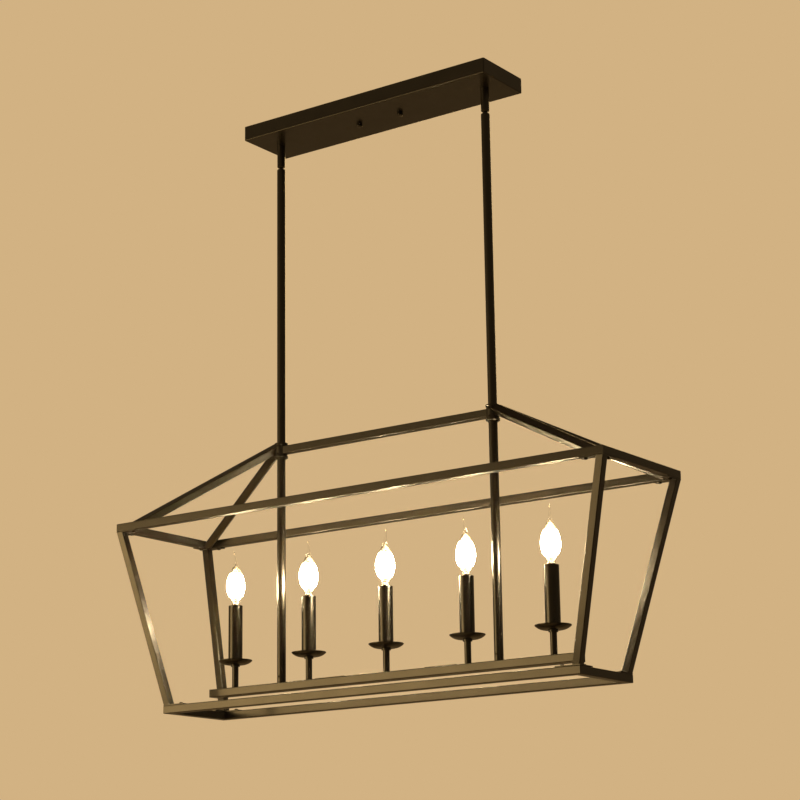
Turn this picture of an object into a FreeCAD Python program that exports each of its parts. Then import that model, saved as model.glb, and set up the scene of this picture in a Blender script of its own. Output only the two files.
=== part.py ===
"""Linear island pendant: an open cage of square tube that hangs from a long ceiling canopy on two stems.

Five candle lamps stand on a light bar inside the cage. Millimetres, +Z up, +X along the length.
The origin is the centre of the canopy's rim, where it meets the ceiling.
"""
import FreeCAD, Part
import math
import os

from FreeCAD import Placement, Rotation, Vector

# Cage: square tube, with a wide frame above, a narrower one below and four leaning legs.
TOP_FRAME_LENGTH = 914.4
TOP_FRAME_WIDTH = 224.0
CAGE_HEIGHT = 309.0
LEG_LEAN_X = 72.2
LEG_LEAN_Y = 38.0
ROOF_RISE = 105.25
TUBE = 12.7
TUBE_WALL = 1.2
TUBE_CORNER_R = 1.2
BOTTOM_FRAME_LENGTH = TOP_FRAME_LENGTH - 2 * LEG_LEAN_X
BOTTOM_FRAME_WIDTH = TOP_FRAME_WIDTH - 2 * LEG_LEAN_Y

# Light bar and candles: the bar ends inside the bottom frame, and the candles share out its length.
CANDLE_COUNT = 5
BAR_END_GAP = 40.5
BAR_OVERHANG = 45.9
BAR_LENGTH = BOTTOM_FRAME_LENGTH - 2 * BAR_END_GAP
CANDLE_SPACING = (BAR_LENGTH - 2 * BAR_OVERHANG) / (CANDLE_COUNT - 1)

# Stems: round tube. Each stands outside the second candle from the end of the bar.
STEM_FROM_CANDLE = 54.7
STEM_R = 6.9
STEM_WALL = 1.2
UPPER_STEM_LENGTH = 476.65
STEM_X = (CANDLE_COUNT - 3) / 2 * CANDLE_SPACING + STEM_FROM_CANDLE
STEM_BORE_R = STEM_R - STEM_WALL

# Canopy: a shallow steel tray, open towards the ceiling, that reaches past both stems.
CANOPY_OVERHANG = 34.5
CANOPY_WIDTH = 108.6
CANOPY_DEPTH = 24.7
CANOPY_WALL = 1.2
CANOPY_BEND = 1.6
CANOPY_LENGTH = 2 * (STEM_X + CANOPY_OVERHANG)

# Mounting bracket: a flat steel cross against the ceiling, held to the outlet box by two slots.
BRACKET_THICKNESS = 2.0
BRACKET_ARM_WIDTH = 22.0
BRACKET_END_MARGIN = 8.0
BRACKET_WIRE_HOLE_R = 6.0
BRACKET_SIDE_GAP = 4.25
BOX_SLOT_R = 2.4
BOX_SLOT_TRAVEL = 9.45
BOX_SLOT_MARGIN = 2.0
BRACKET_REACH = CANOPY_WIDTH / 2 - CANOPY_WALL - BRACKET_SIDE_GAP
BOX_SLOT_OUTER = BRACKET_REACH - BOX_SLOT_MARGIN - BOX_SLOT_R
BOX_SLOT_INNER = BOX_SLOT_OUTER - BOX_SLOT_TRAVEL
GROUND_SCREW_X = 22.0

# Canopy fixing: two threaded studs, each with a lock nut above and a round cap nut below the canopy.
STUD_SPACING = 81.2
STUD_R = 2.0
STUD_TOP_GAP = 0.4
STUD_HOLE_CLEARANCE = 0.4
CAP_NUT_R = 4.7
CAP_NUT_HEIGHT = 6.0
CAP_NUT_THREAD_DEPTH = 4.0
SMALL_NUT_FLATS = 7.0
SMALL_NUT_HEIGHT = 3.2

# Swivels: a ball in a tubular housing at the top of each stem. The mouth leaves room for the neck's swing.
FIT = 0.05
BALL_R = 5.4
BALL_CLEARANCE = 0.05
BALL_SEAT_DEPTH = 3.0
HOUSING_WALL = 1.15
HOUSING_LENGTH = 39.3
HOUSING_CHAMFER = 1.2
NECK_STEP = 2.4
NECK_WALL = 1.2
SWING_LIMIT = math.radians(20)
MOUTH_CLEARANCE = 0.3155
SWIVEL_GAP = 3.5
COLLAR_HEIGHT = 3.0
COLLAR_CHAMFER = 1.0
SPIGOT_LENGTH = 12.0
NIPPLE_TO_BALL_GAP = 1.0
NIPPLE_R = 5.1
NIPPLE_BORE_R = 3.2
NIPPLE_HOLE_CLEARANCE = 0.1
NIPPLE_PROUD = 1.6
LOCKNUT_RIM = 1.85
LOCKNUT_HEIGHT = 3.0
HOUSING_R = BALL_R + BALL_CLEARANCE + HOUSING_WALL
NECK_R = BALL_R - NECK_STEP
BALL_BORE_R = NECK_R - NECK_WALL
MOUTH_R = BALL_SEAT_DEPTH * math.tan(SWING_LIMIT) + NECK_R / math.cos(SWING_LIMIT) + MOUTH_CLEARANCE

# Hubs: turned couplings where the stems, the ridge bar and the hip bars meet, between two collars.
HUB_WALL = 3.05
HUB_COLLAR_STEP = 1.0
HUB_TOP_COLLAR = 3.2
HUB_BOTTOM_COLLAR = 3.6
HUB_BAR_GAP = 2.5
HIP_HEAD_RISE = 3.6
HUB_EDGE_CHAMFER = 0.6
HUB_PARTITION = 2.0
HUB_WIRE_HOLE_R = 4.0
SET_SCREW_R = 1.8
SET_SCREW_PROUD = 0.5
HUB_SET_SCREW_OFFSET = 6.2
STEM_SET_SCREW_RISE = 10.0
HUB_BODY_R = STEM_R + FIT + HUB_WALL
HUB_COLLAR_R = HUB_BODY_R + HUB_COLLAR_STEP
HUB_HEIGHT = HUB_TOP_COLLAR + TUBE + 2 * HUB_BAR_GAP + HUB_BOTTOM_COLLAR

# Corner plates: an L-shaped plate on each end of a leg, with one screw in each arm.
PLATE_THICKNESS = 1.5
PLATE_LONG_ARM = 28.0
PLATE_SHORT_ARM = 23.0
LONG_ARM_SCREW = 19.5
SHORT_ARM_SCREW = 9.5
PLATE_SCREW_R = 2.0
PLATE_SCREW_HEAD_R = 3.5
PLATE_SCREW_HEAD_HEIGHT = 2.3
PLATE_SCREW_LENGTH = 6.0
SCREW_HOLE_CLEARANCE = 0.05

# Light bar: a rectangular tube that carries the candles and their wires.
BAR_WIDTH = 22.0
BAR_HEIGHT = 12.7
BAR_WALL = 1.2
BAR_GAP = 14.9
END_CAP_THICKNESS = 2.5
END_CAP_PLUG_DEPTH = 8.0
END_CAP_ROUND = 1.8
COVER_LENGTH = 57.0
COVER_WIDTH = 15.0
COVER_THICKNESS = 1.2
COVER_FROM_CANDLE = 45.3
COVER_LIP = 4.0
COVER_TAB_DEPTH = 3.0
COVER_X = (CANDLE_COUNT - 3) / 2 * CANDLE_SPACING - COVER_FROM_CANDLE

# Candles: a tube from the bar, a drip dish, a socket inside a sleeve, and a lamp.
CANDLE_TUBE_R = 5.1
CANDLE_TUBE_WALL = 1.0
CANDLE_TUBE_TAIL = 5.0
DISH_RISE = 36.9
DISH_R = 27.0
DISH_DEPTH = 7.2
DISH_FLAT_MARGIN = 1.2
DISH_WALL = 1.0
DISH_COLLAR_R = 7.2
DISH_COLLAR_HEIGHT = 3.0
CANDLE_THREAD_LENGTH = 8.0
SLEEVE_R = 11.3
SLEEVE_WALL = 1.1
SLEEVE_LENGTH = 93.8
SOCKET_GAP = 1.6
SOCKET_BELOW_SLEEVE = 1.5
SOCKET_FLOOR = 4.0
SOCKET_WIRE_HOLE_R = 2.6
SHELL_WALL = 0.4
SHELL_HEIGHT = 20.0
DISH_FLAT_R = SLEEVE_R + DISH_FLAT_MARGIN
SOCKET_R = SLEEVE_R - SLEEVE_WALL - SOCKET_GAP

# Lamps: a small screw base and a clear flame-shaped bulb.
BASE_R = 5.9
BASE_CLEARANCE = 0.1
BASE_DEPTH = 19.0
BASE_PROUD = 2.4
CONTACT_R = 2.4
CONTACT_HEIGHT = 2.0
BULB_WALL = 0.8
FILAMENT_R = 1.0
FILAMENT_HEIGHT = 38.0
# Radius and height above the base, from the neck up to the drawn tip.
BULB_OUTLINE = [(6.0, 0.0), (6.4, 4.0), (11.0, 13.0), (15.0, 29.0), (12.0, 45.0), (6.4, 57.0), (2.8, 65.0),
                (1.5, 75.0), (0.8, 87.0)]
BULB_CAVITY_TOP = 6

# Wires: insulated leads from the canopy through the stems to the bar and the sockets.
WIRE_R = 1.1
STEM_WIRE_SLACK = 0.4
WIRE_PAIR_SPACING = 3.0
LEAD_SPREAD = 28.0
LEAD_BEND = 8.0
LEAD_TURN_RUN = 64.0
LEAD_SIDE_BEND = 60.0
CONNECTOR_NEAR = 14.0
CONNECTOR_LENGTH = 20.0
CONNECTOR_MOUTH_R = 5.0
CONNECTOR_TIP_R = 3.2
BAR_WIRE_SPACING = 6.0
STEM_WIRE_R = BALL_BORE_R - STEM_WIRE_SLACK

# Levels worked out from the sizes above, from the ceiling down.
CANOPY_FLOOR = -CANOPY_DEPTH + CANOPY_WALL
HOUSING_TOP = -CANOPY_DEPTH
HOUSING_BOTTOM = HOUSING_TOP - HOUSING_LENGTH
BALL_CENTRE = HOUSING_BOTTOM + BALL_SEAT_DEPTH
COLLAR_TOP = HOUSING_BOTTOM - SWIVEL_GAP
STEM_TOP = COLLAR_TOP - COLLAR_HEIGHT
HUB_MIDDLE = STEM_TOP - UPPER_STEM_LENGTH - HUB_PARTITION / 2
HUB_TOP = HUB_MIDDLE + HUB_HEIGHT / 2
HUB_BOTTOM = HUB_MIDDLE - HUB_HEIGHT / 2
TOP_FRAME_TOP = HUB_MIDDLE - ROOF_RISE
TOP_FRAME_UNDERSIDE = TOP_FRAME_TOP - TUBE
BOTTOM_FRAME_UNDERSIDE = TOP_FRAME_TOP - CAGE_HEIGHT
BOTTOM_FRAME_TOP = BOTTOM_FRAME_UNDERSIDE + TUBE
BAR_UNDERSIDE = BOTTOM_FRAME_TOP + BAR_GAP
BAR_TOP = BAR_UNDERSIDE + BAR_HEIGHT
DISH_UNDERSIDE = BAR_TOP + DISH_RISE
DISH_FLOOR = DISH_UNDERSIDE + DISH_WALL
SLEEVE_TOP = DISH_FLOOR + SLEEVE_LENGTH
SOCKET_TOP = SLEEVE_TOP - SOCKET_BELOW_SLEEVE
BASE_BOTTOM = SLEEVE_TOP - BASE_DEPTH
BASE_TOP = SLEEVE_TOP + BASE_PROUD

STUD_X = STUD_SPACING / 2
SIDES = {"left": -1, "right": 1}
CORNERS = {"front_left": (-1, -1), "front_right": (1, -1), "back_left": (-1, 1), "back_right": (1, 1)}
CANDLE_X = [(i - (CANDLE_COUNT - 1) / 2) * CANDLE_SPACING for i in range(CANDLE_COUNT)]
FULL_TURN = 360


def box(x, y, z):
    """A box from three (low, high) pairs."""
    return Part.makeBox(x[1] - x[0], y[1] - y[0], z[1] - z[0], Vector(x[0], y[0], z[0]))


def centred_box(length, width, z):
    """A box centred on the Z axis."""
    return box((-length / 2, length / 2), (-width / 2, width / 2), z)


def rod(radius, low, high, x=0.0, y=0.0):
    """An upright round bar between two levels."""
    return Part.makeCylinder(radius, high - low, Vector(x, y, low))


def pipe(radius, bore, low, high, x=0.0, y=0.0):
    """An upright round tube between two levels."""
    return rod(radius, low, high, x, y).cut(rod(bore, low, high, x, y))


def turned(outline, x=0.0, y=0.0):
    """A turned solid from (radius, level) points, closed back to the first point."""
    points = [Vector(radius, 0, level) for radius, level in outline]
    face = Part.Face(Part.makePolygon(points + points[:1]))
    solid = face.revolve(Vector(0, 0, 0), Vector(0, 0, 1), FULL_TURN)
    solid.translate(Vector(x, y, 0))
    return solid


def hexagon(flats, low, high, x=0.0, y=0.0):
    """An upright hexagonal bar, measured across its flats."""
    radius = flats / math.sqrt(3)
    angles = [math.radians(60 * i) for i in range(7)]
    points = [Vector(x + radius * math.cos(a), y + radius * math.sin(a), low) for a in angles]
    return Part.Face(Part.makePolygon(points)).extrude(Vector(0, 0, high - low))


def hex_nut(flats, bore, low, high, x=0.0, y=0.0):
    return hexagon(flats, low, high, x, y).cut(rod(bore, low, high, x, y))


def radial_screw(radius, inner, outer, x, level):
    """A headless screw that points to the front, between two distances from an upright axis."""
    return Part.makeCylinder(radius, outer - inner, Vector(x, -outer, level), Vector(0, 1, 0))


def rounded_square(size, radius):
    """The outline of a square tube, centred on the origin in the XY plane."""
    half = size / 2
    plain = half - radius
    edges = []
    for quarter in range(4):
        turn = Rotation(Vector(0, 0, 1), 90 * quarter)
        corner = [Vector(plain, half, 0), Vector(half, plain, 0)]
        middle = Vector(plain + radius * math.sqrt(0.5), plain + radius * math.sqrt(0.5), 0)
        start, end = (turn.multVec(p) for p in corner)
        edges.append(Part.Arc(start, turn.multVec(middle), end).toShape())
        next_start = Rotation(Vector(0, 0, 1), 90 * (quarter - 1)).multVec(corner[0])
        edges.append(Part.LineSegment(end, next_start).toShape())
    return Part.Wire(Part.__sortEdges__(edges))


def tube_section():
    """The cross-section of the cage's square tube, with its bore."""
    bore = TUBE - 2 * TUBE_WALL
    inner = Part.makePolygon([Vector(x * bore / 2, y * bore / 2, 0)
                              for x, y in ((-1, -1), (1, -1), (1, 1), (-1, 1), (-1, -1))])
    outer = Part.Face(rounded_square(TUBE, TUBE_CORNER_R))
    return outer.cut(Part.Face(inner)).Faces[0]


def tube_between(start, end, side=None):
    """A square tube along a line, with two of its sides upright or one facing the side that is given."""
    along = (end - start).normalize()
    if side is None:
        side = Vector(0, 0, 1).cross(along).normalize()
    up = along.cross(side)
    section = tube_section()
    section.Placement = Placement(start, Rotation(side, up, along, "ZXY"))
    return section.extrude(end - start)


def bent_wire(points, bends, radius):
    """A round wire along straight runs, with a tangent arc of the given radius at each inner point."""
    edges = []
    run_start = points[0]
    for before, corner, after, bend in zip(points, points[1:], points[2:], bends):
        inwards = (before - corner).normalize()
        outwards = (after - corner).normalize()
        half_angle = inwards.getAngle(outwards) / 2
        reach = bend / math.tan(half_angle)
        arc_start = corner + inwards * reach
        arc_end = corner + outwards * reach
        bisector = (inwards + outwards).normalize()
        arc_middle = corner + bisector * (bend / math.sin(half_angle) - bend)
        edges.append(Part.LineSegment(run_start, arc_start).toShape())
        edges.append(Part.Arc(arc_start, arc_middle, arc_end).toShape())
        run_start = arc_end
    edges.append(Part.LineSegment(run_start, points[-1]).toShape())
    profile = Part.Wire(Part.makeCircle(radius, points[0], points[1] - points[0]))
    return Part.Wire(edges).makePipeShell([profile], True, False)


def canopy():
    """The folded steel tray, with holes for the two studs and the two swivel nipples."""
    tray = centred_box(CANOPY_LENGTH, CANOPY_WIDTH, (-CANOPY_DEPTH, 0))
    outer_edges = [e for e in tray.Edges if e.BoundBox.ZMin < -CANOPY_DEPTH / 2]
    tray = tray.makeFillet(CANOPY_BEND, outer_edges)
    inside = centred_box(CANOPY_LENGTH - 2 * CANOPY_WALL, CANOPY_WIDTH - 2 * CANOPY_WALL, (CANOPY_FLOOR, 0))
    inner_bend = max(CANOPY_BEND - CANOPY_WALL, FIT)
    inner_edges = [e for e in inside.Edges if e.BoundBox.ZMin < -CANOPY_DEPTH / 2]
    tray = tray.cut(inside.makeFillet(inner_bend, inner_edges))
    for side in SIDES.values():
        tray = tray.cut(rod(STUD_R + STUD_HOLE_CLEARANCE, -CANOPY_DEPTH, 0, side * STUD_X))
        tray = tray.cut(rod(NIPPLE_R + NIPPLE_HOLE_CLEARANCE, -CANOPY_DEPTH, 0, side * STEM_X))
    return tray


def mounting_bracket():
    """A cross with tapped stud holes on its long arm and outlet-box slots on its short arm."""
    level = (-BRACKET_THICKNESS, 0)
    long_arm = centred_box(STUD_SPACING + 2 * BRACKET_END_MARGIN, BRACKET_ARM_WIDTH, level)
    short_arm = centred_box(BRACKET_ARM_WIDTH, 2 * BRACKET_REACH, level)
    plate = long_arm.fuse(short_arm).removeSplitter()
    plate = plate.cut(rod(BRACKET_WIRE_HOLE_R, *level))
    plate = plate.cut(rod(STUD_R, *level, x=GROUND_SCREW_X))
    for side in SIDES.values():
        plate = plate.cut(rod(STUD_R, *level, x=side * STUD_X))
        near, far = sorted((side * BOX_SLOT_INNER, side * BOX_SLOT_OUTER))
        slot = box((-BOX_SLOT_R, BOX_SLOT_R), (near, far), level)
        for end in (near, far):
            slot = slot.fuse(rod(BOX_SLOT_R, *level, y=end))
        plate = plate.cut(slot)
    return plate


def canopy_studs():
    bottom = -CANOPY_DEPTH - CAP_NUT_THREAD_DEPTH
    return [rod(STUD_R, bottom, -STUD_TOP_GAP, side * STUD_X) for side in SIDES.values()]


def stud_nuts():
    level = (-BRACKET_THICKNESS - SMALL_NUT_HEIGHT, -BRACKET_THICKNESS)
    return [hex_nut(SMALL_NUT_FLATS, STUD_R, *level, side * STUD_X) for side in SIDES.values()]


def canopy_cap_nuts():
    """Round nuts with a closed, slightly rounded lower end."""
    top = -CANOPY_DEPTH
    bottom = top - CAP_NUT_HEIGHT
    nuts = []
    for side in SIDES.values():
        body = rod(CAP_NUT_R, bottom, top, side * STUD_X)
        body = body.makeFillet(HUB_EDGE_CHAMFER, [e for e in body.Edges if e.BoundBox.ZMax < bottom + FIT])
        nuts.append(body.cut(rod(STUD_R, top - CAP_NUT_THREAD_DEPTH, top, side * STUD_X)))
    return nuts


def ground_screw():
    """A hexagonal-headed screw under the bracket, for the earth lead."""
    top = -BRACKET_THICKNESS
    head = hexagon(SMALL_NUT_FLATS, top - PLATE_SCREW_HEAD_HEIGHT, top, GROUND_SCREW_X)
    return head.fuse(rod(STUD_R, top, -STUD_TOP_GAP, GROUND_SCREW_X))


def swivel_housing(side):
    """A tube closed at its lower end by a round seat, which the ball's neck passes through."""
    x = side * STEM_X
    bore = BALL_R + BALL_CLEARANCE
    body = turned([(0, HOUSING_TOP), (HOUSING_R, HOUSING_TOP), (HOUSING_R, HOUSING_BOTTOM + HOUSING_CHAMFER),
                   (HOUSING_R - HOUSING_CHAMFER, HOUSING_BOTTOM), (0, HOUSING_BOTTOM)], x)
    body = body.cut(rod(bore, BALL_CENTRE, HOUSING_TOP, x))
    body = body.cut(rod(MOUTH_R, HOUSING_BOTTOM, BALL_CENTRE, x))
    return body.cut(Part.makeSphere(bore, Vector(x, 0, BALL_CENTRE)))


def swivel_nipples():
    """Hollow threaded nipples: the thick end closes the housing, the thin end passes the canopy."""
    collar_bottom = BALL_CENTRE + BALL_R + NIPPLE_TO_BALL_GAP
    nipple_top = CANOPY_FLOOR + LOCKNUT_HEIGHT + NIPPLE_PROUD
    collar_r = BALL_R + BALL_CLEARANCE - FIT
    outline = [(NIPPLE_BORE_R, collar_bottom), (collar_r, collar_bottom), (collar_r, HOUSING_TOP),
               (NIPPLE_R, HOUSING_TOP), (NIPPLE_R, nipple_top), (NIPPLE_BORE_R, nipple_top)]
    return [turned(outline, side * STEM_X) for side in SIDES.values()]


def swivel_locknuts():
    top = CANOPY_FLOOR + LOCKNUT_HEIGHT
    bore = NIPPLE_R + FIT
    flats = 2 * (bore + LOCKNUT_RIM)
    return [hex_nut(flats, bore, CANOPY_FLOOR, top, side * STEM_X) for side in SIDES.values()]


def swivel_ball(side):
    """The ball, its neck, and the chamfered collar and spigot that close the top of the stem."""
    x = side * STEM_X
    spigot_r = STEM_BORE_R - FIT
    stud = turned([(0, BALL_CENTRE), (NECK_R, BALL_CENTRE), (NECK_R, COLLAR_TOP),
                   (STEM_R - COLLAR_CHAMFER, COLLAR_TOP), (STEM_R, COLLAR_TOP - COLLAR_CHAMFER),
                   (STEM_R, STEM_TOP), (spigot_r, STEM_TOP), (spigot_r, STEM_TOP - SPIGOT_LENGTH),
                   (0, STEM_TOP - SPIGOT_LENGTH)], x)
    stud = stud.fuse(Part.makeSphere(BALL_R, Vector(x, 0, BALL_CENTRE)))
    return stud.cut(rod(BALL_BORE_R, STEM_TOP - SPIGOT_LENGTH, BALL_CENTRE + BALL_R, x))


def upper_stem(side):
    return pipe(STEM_R, STEM_BORE_R, HUB_MIDDLE + HUB_PARTITION / 2, STEM_TOP, side * STEM_X)


def lower_stem(side):
    """The stem inside the cage, with a tapped hole for its set screw."""
    x = side * STEM_X
    tube = pipe(STEM_R, STEM_BORE_R, BAR_TOP, HUB_MIDDLE - HUB_PARTITION / 2, x)
    return tube.cut(radial_screw(SET_SCREW_R, 0, 2 * STEM_R, x, BAR_TOP + STEM_SET_SCREW_RISE))


def hub(side):
    """A turned coupling with a collar at each end and a socket for each stem."""
    x = side * STEM_X
    top_step = HUB_TOP - HUB_TOP_COLLAR
    bottom_step = HUB_BOTTOM + HUB_BOTTOM_COLLAR
    edge = HUB_EDGE_CHAMFER
    socket_r = STEM_R + FIT
    half_partition = HUB_PARTITION / 2
    body = turned([(socket_r, HUB_TOP), (HUB_COLLAR_R - edge, HUB_TOP), (HUB_COLLAR_R, HUB_TOP - edge),
                   (HUB_COLLAR_R, top_step), (HUB_BODY_R, top_step), (HUB_BODY_R, bottom_step),
                   (HUB_COLLAR_R, bottom_step), (HUB_COLLAR_R, HUB_BOTTOM + edge),
                   (HUB_COLLAR_R - edge, HUB_BOTTOM),
                   (socket_r, HUB_BOTTOM), (socket_r, HUB_MIDDLE - half_partition),
                   (HUB_WIRE_HOLE_R, HUB_MIDDLE - half_partition), (HUB_WIRE_HOLE_R, HUB_MIDDLE + half_partition),
                   (socket_r, HUB_MIDDLE + half_partition)], x)
    for offset in (-HUB_SET_SCREW_OFFSET, HUB_SET_SCREW_OFFSET):
        body = body.cut(radial_screw(SET_SCREW_R, 0, 2 * HUB_BODY_R, x, HUB_MIDDLE + offset))
    return body


def set_screws():
    """Two small screws in each hub, one for each stem, and one at the foot of each lower stem."""
    screws = []
    for side in SIDES.values():
        x = side * STEM_X
        for offset in (-HUB_SET_SCREW_OFFSET, HUB_SET_SCREW_OFFSET):
            tip = HUB_BODY_R + SET_SCREW_PROUD
            screws.append(radial_screw(SET_SCREW_R, STEM_R, tip, x, HUB_MIDDLE + offset))
        level = BAR_TOP + STEM_SET_SCREW_RISE
        screws.append(radial_screw(SET_SCREW_R, STEM_BORE_R, STEM_R + SET_SCREW_PROUD, x, level))
    return screws


def stem_nipples():
    """Hollow nipples that join the lower stems to the light bar."""
    low = BAR_TOP - CANDLE_TUBE_TAIL
    high = BAR_TOP + SPIGOT_LENGTH
    return [pipe(STEM_BORE_R - FIT, NIPPLE_BORE_R, low, high, side * STEM_X) for side in SIDES.values()]


def ridge_bar():
    """The square tube between the two hubs."""
    bar = tube_between(Vector(-STEM_X, 0, HUB_MIDDLE), Vector(STEM_X, 0, HUB_MIDDLE))
    for side in SIDES.values():
        bar = bar.cut(rod(HUB_BODY_R, HUB_BOTTOM, HUB_TOP, side * STEM_X))
    return bar


def hip_bar(corner):
    """The square tube from a hub down to the inside corner of the top frame, with its top in the long roof slope."""
    side, front = CORNERS[corner]
    inner_x = TOP_FRAME_LENGTH / 2 - TUBE
    inner_y = TOP_FRAME_WIDTH / 2 - TUBE
    roof_slope = math.atan2(ROOF_RISE + HIP_HEAD_RISE, inner_y)
    foot = Vector(side * inner_x, front * inner_y, TOP_FRAME_TOP - TUBE / 2 / math.cos(roof_slope))
    plan = Vector(foot.x - side * STEM_X, foot.y, 0).normalize()
    head = Vector(side * STEM_X, 0, HUB_MIDDLE + HIP_HEAD_RISE) + plan * HUB_BODY_R
    along = (foot - head).normalize()
    in_slope = (Vector(1, 0, 0) - along * along.x).normalize()
    bar = tube_between(head - along * 2 * HUB_BODY_R, foot + along * 2 * TUBE, in_slope)
    for radius, low, high in ((HUB_COLLAR_R, HUB_BOTTOM, HUB_BOTTOM + HUB_BOTTOM_COLLAR),
                              (HUB_BODY_R, HUB_BOTTOM, HUB_TOP), (HUB_COLLAR_R, HUB_TOP - HUB_TOP_COLLAR, HUB_TOP)):
        bar = bar.cut(rod(radius, low, high, side * STEM_X))
    own_quarter = box(sorted((side * STEM_X, side * inner_x)), sorted((0, front * inner_y)),
                      (TOP_FRAME_UNDERSIDE, HUB_TOP))
    return bar.common(own_quarter)


def screw_places(length, width, corner):
    """The two screw centres of one corner of a frame, in plan."""
    side, front = CORNERS[corner]
    long_arm = (side * (length / 2 - TUBE - LONG_ARM_SCREW), front * (width / 2 - TUBE / 2))
    short_arm = (side * (length / 2 - TUBE / 2), front * (width / 2 - TUBE - SHORT_ARM_SCREW))
    return [long_arm, short_arm]


def rail(length, width, top, name, screw_side):
    """One mitred side of a frame. The tapped screw holes are in its top (1) or its underside (-1)."""
    across = name in ("left", "right")
    sign = -1 if name in ("left", "front") else 1
    half_length = length / 2
    half_width = width / 2
    inner_length = half_length - TUBE
    inner_width = half_width - TUBE
    middle = top - TUBE / 2
    if across:
        x = sign * (half_length - TUBE / 2)
        tube = tube_between(Vector(x, -half_width, middle), Vector(x, half_width, middle))
    else:
        y = sign * (half_width - TUBE / 2)
        tube = tube_between(Vector(-half_length, y, middle), Vector(half_length, y, middle))
    if across:
        outline = [(sign * half_length, -half_width), (sign * half_length, half_width),
                   (sign * inner_length, inner_width), (sign * inner_length, -inner_width)]
    else:
        outline = [(-half_length, sign * half_width), (half_length, sign * half_width),
                   (inner_length, sign * inner_width), (-inner_length, sign * inner_width)]
    points = [Vector(x, y, top - 2 * TUBE) for x, y in outline + outline[:1]]
    mitred = tube.common(Part.Face(Part.makePolygon(points)).extrude(Vector(0, 0, 3 * TUBE)))
    wall = sorted((middle, top if screw_side > 0 else top - TUBE))
    for corner in CORNERS:
        for x, y in screw_places(length, width, corner):
            mitred = mitred.cut(rod(PLATE_SCREW_R + SCREW_HOLE_CLEARANCE, *wall, x, y))
    return mitred


def corner_plate(length, width, level, corner):
    """An L-shaped plate that covers a frame's corner, with a screw hole in each arm."""
    side, front = CORNERS[corner]
    x_outer, y_outer = side * length / 2, front * width / 2
    x_inner, y_inner = x_outer - side * TUBE, y_outer - front * TUBE
    long_arm = box(sorted((x_outer, x_inner - side * PLATE_LONG_ARM)), sorted((y_outer, y_inner)), level)
    short_arm = box(sorted((x_outer, x_inner)), sorted((y_outer, y_inner - front * PLATE_SHORT_ARM)), level)
    plate = long_arm.fuse(short_arm)
    for x, y in screw_places(length, width, corner):
        plate = plate.cut(rod(PLATE_SCREW_R + SCREW_HOLE_CLEARANCE, *level, x, y))
    return plate


def leg(corner):
    """A leaning square tube, with a plate welded on at each end."""
    side, front = CORNERS[corner]
    top_level = (TOP_FRAME_UNDERSIDE - PLATE_THICKNESS, TOP_FRAME_UNDERSIDE)
    bottom_level = (BOTTOM_FRAME_TOP, BOTTOM_FRAME_TOP + PLATE_THICKNESS)
    foot_x = side * (BOTTOM_FRAME_LENGTH - TUBE) / 2
    foot_y = front * (BOTTOM_FRAME_WIDTH - TUBE) / 2
    foot = Vector(foot_x, foot_y, bottom_level[1])
    head = Vector(foot_x + side * LEG_LEAN_X, foot_y + front * LEG_LEAN_Y, top_level[0])
    section = tube_section()
    section.translate(foot)
    tube = section.extrude(head - foot)
    top_plate = corner_plate(TOP_FRAME_LENGTH, TOP_FRAME_WIDTH, top_level, corner)
    bottom_plate = corner_plate(BOTTOM_FRAME_LENGTH, BOTTOM_FRAME_WIDTH, bottom_level, corner)
    return tube.fuse([top_plate, bottom_plate]).removeSplitter()


def plate_screw(x, y, seat, direction):
    """A pan-headed screw. Its head stands on the seat and its shank points along direction."""
    head_end = seat - direction * PLATE_SCREW_HEAD_HEIGHT
    head = rod(PLATE_SCREW_HEAD_R, *sorted((seat, head_end)), x, y)
    rim = [e for e in head.Edges if abs(e.BoundBox.Center.z - head_end) < FIT]
    head = head.makeFillet(PLATE_SCREW_HEAD_HEIGHT / 2, rim)
    return head.fuse(rod(PLATE_SCREW_R, *sorted((seat, seat + direction * PLATE_SCREW_LENGTH)), x, y))


def leg_screws():
    """Two screws up into each corner of the top frame and two down into each corner of the bottom frame."""
    screws = []
    for corner in CORNERS:
        for x, y in screw_places(TOP_FRAME_LENGTH, TOP_FRAME_WIDTH, corner):
            screws.append(plate_screw(x, y, TOP_FRAME_UNDERSIDE - PLATE_THICKNESS, 1))
        for x, y in screw_places(BOTTOM_FRAME_LENGTH, BOTTOM_FRAME_WIDTH, corner):
            screws.append(plate_screw(x, y, BOTTOM_FRAME_TOP + PLATE_THICKNESS, -1))
    return screws


def light_bar():
    """The rectangular tube, with holes for the candles and stems and two wiring slots under the covers."""
    length = BAR_LENGTH - 2 * END_CAP_THICKNESS
    tube = centred_box(length, BAR_WIDTH, (BAR_UNDERSIDE, BAR_TOP))
    tube = tube.makeFillet(BAR_WALL, [e for e in tube.Edges if e.BoundBox.XLength > length / 2])
    bore = centred_box(length, BAR_WIDTH - 2 * BAR_WALL, (BAR_UNDERSIDE + BAR_WALL, BAR_TOP - BAR_WALL))
    tube = tube.cut(bore)
    wall = (BAR_TOP - BAR_WALL, BAR_TOP)
    for x in CANDLE_X:
        tube = tube.cut(rod(CANDLE_TUBE_R + FIT, *wall, x))
    for side in SIDES.values():
        tube = tube.cut(rod(STEM_BORE_R, *wall, side * STEM_X))
        tube = tube.cut(cover_slot(side))
    return tube


def cover_slot(side):
    middle = side * COVER_X
    reach = COVER_LENGTH / 2 - COVER_LIP
    half_width = COVER_WIDTH / 2 - COVER_LIP
    return box((middle - reach, middle + reach), (-half_width, half_width), (BAR_TOP - BAR_WALL, BAR_TOP))


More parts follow.
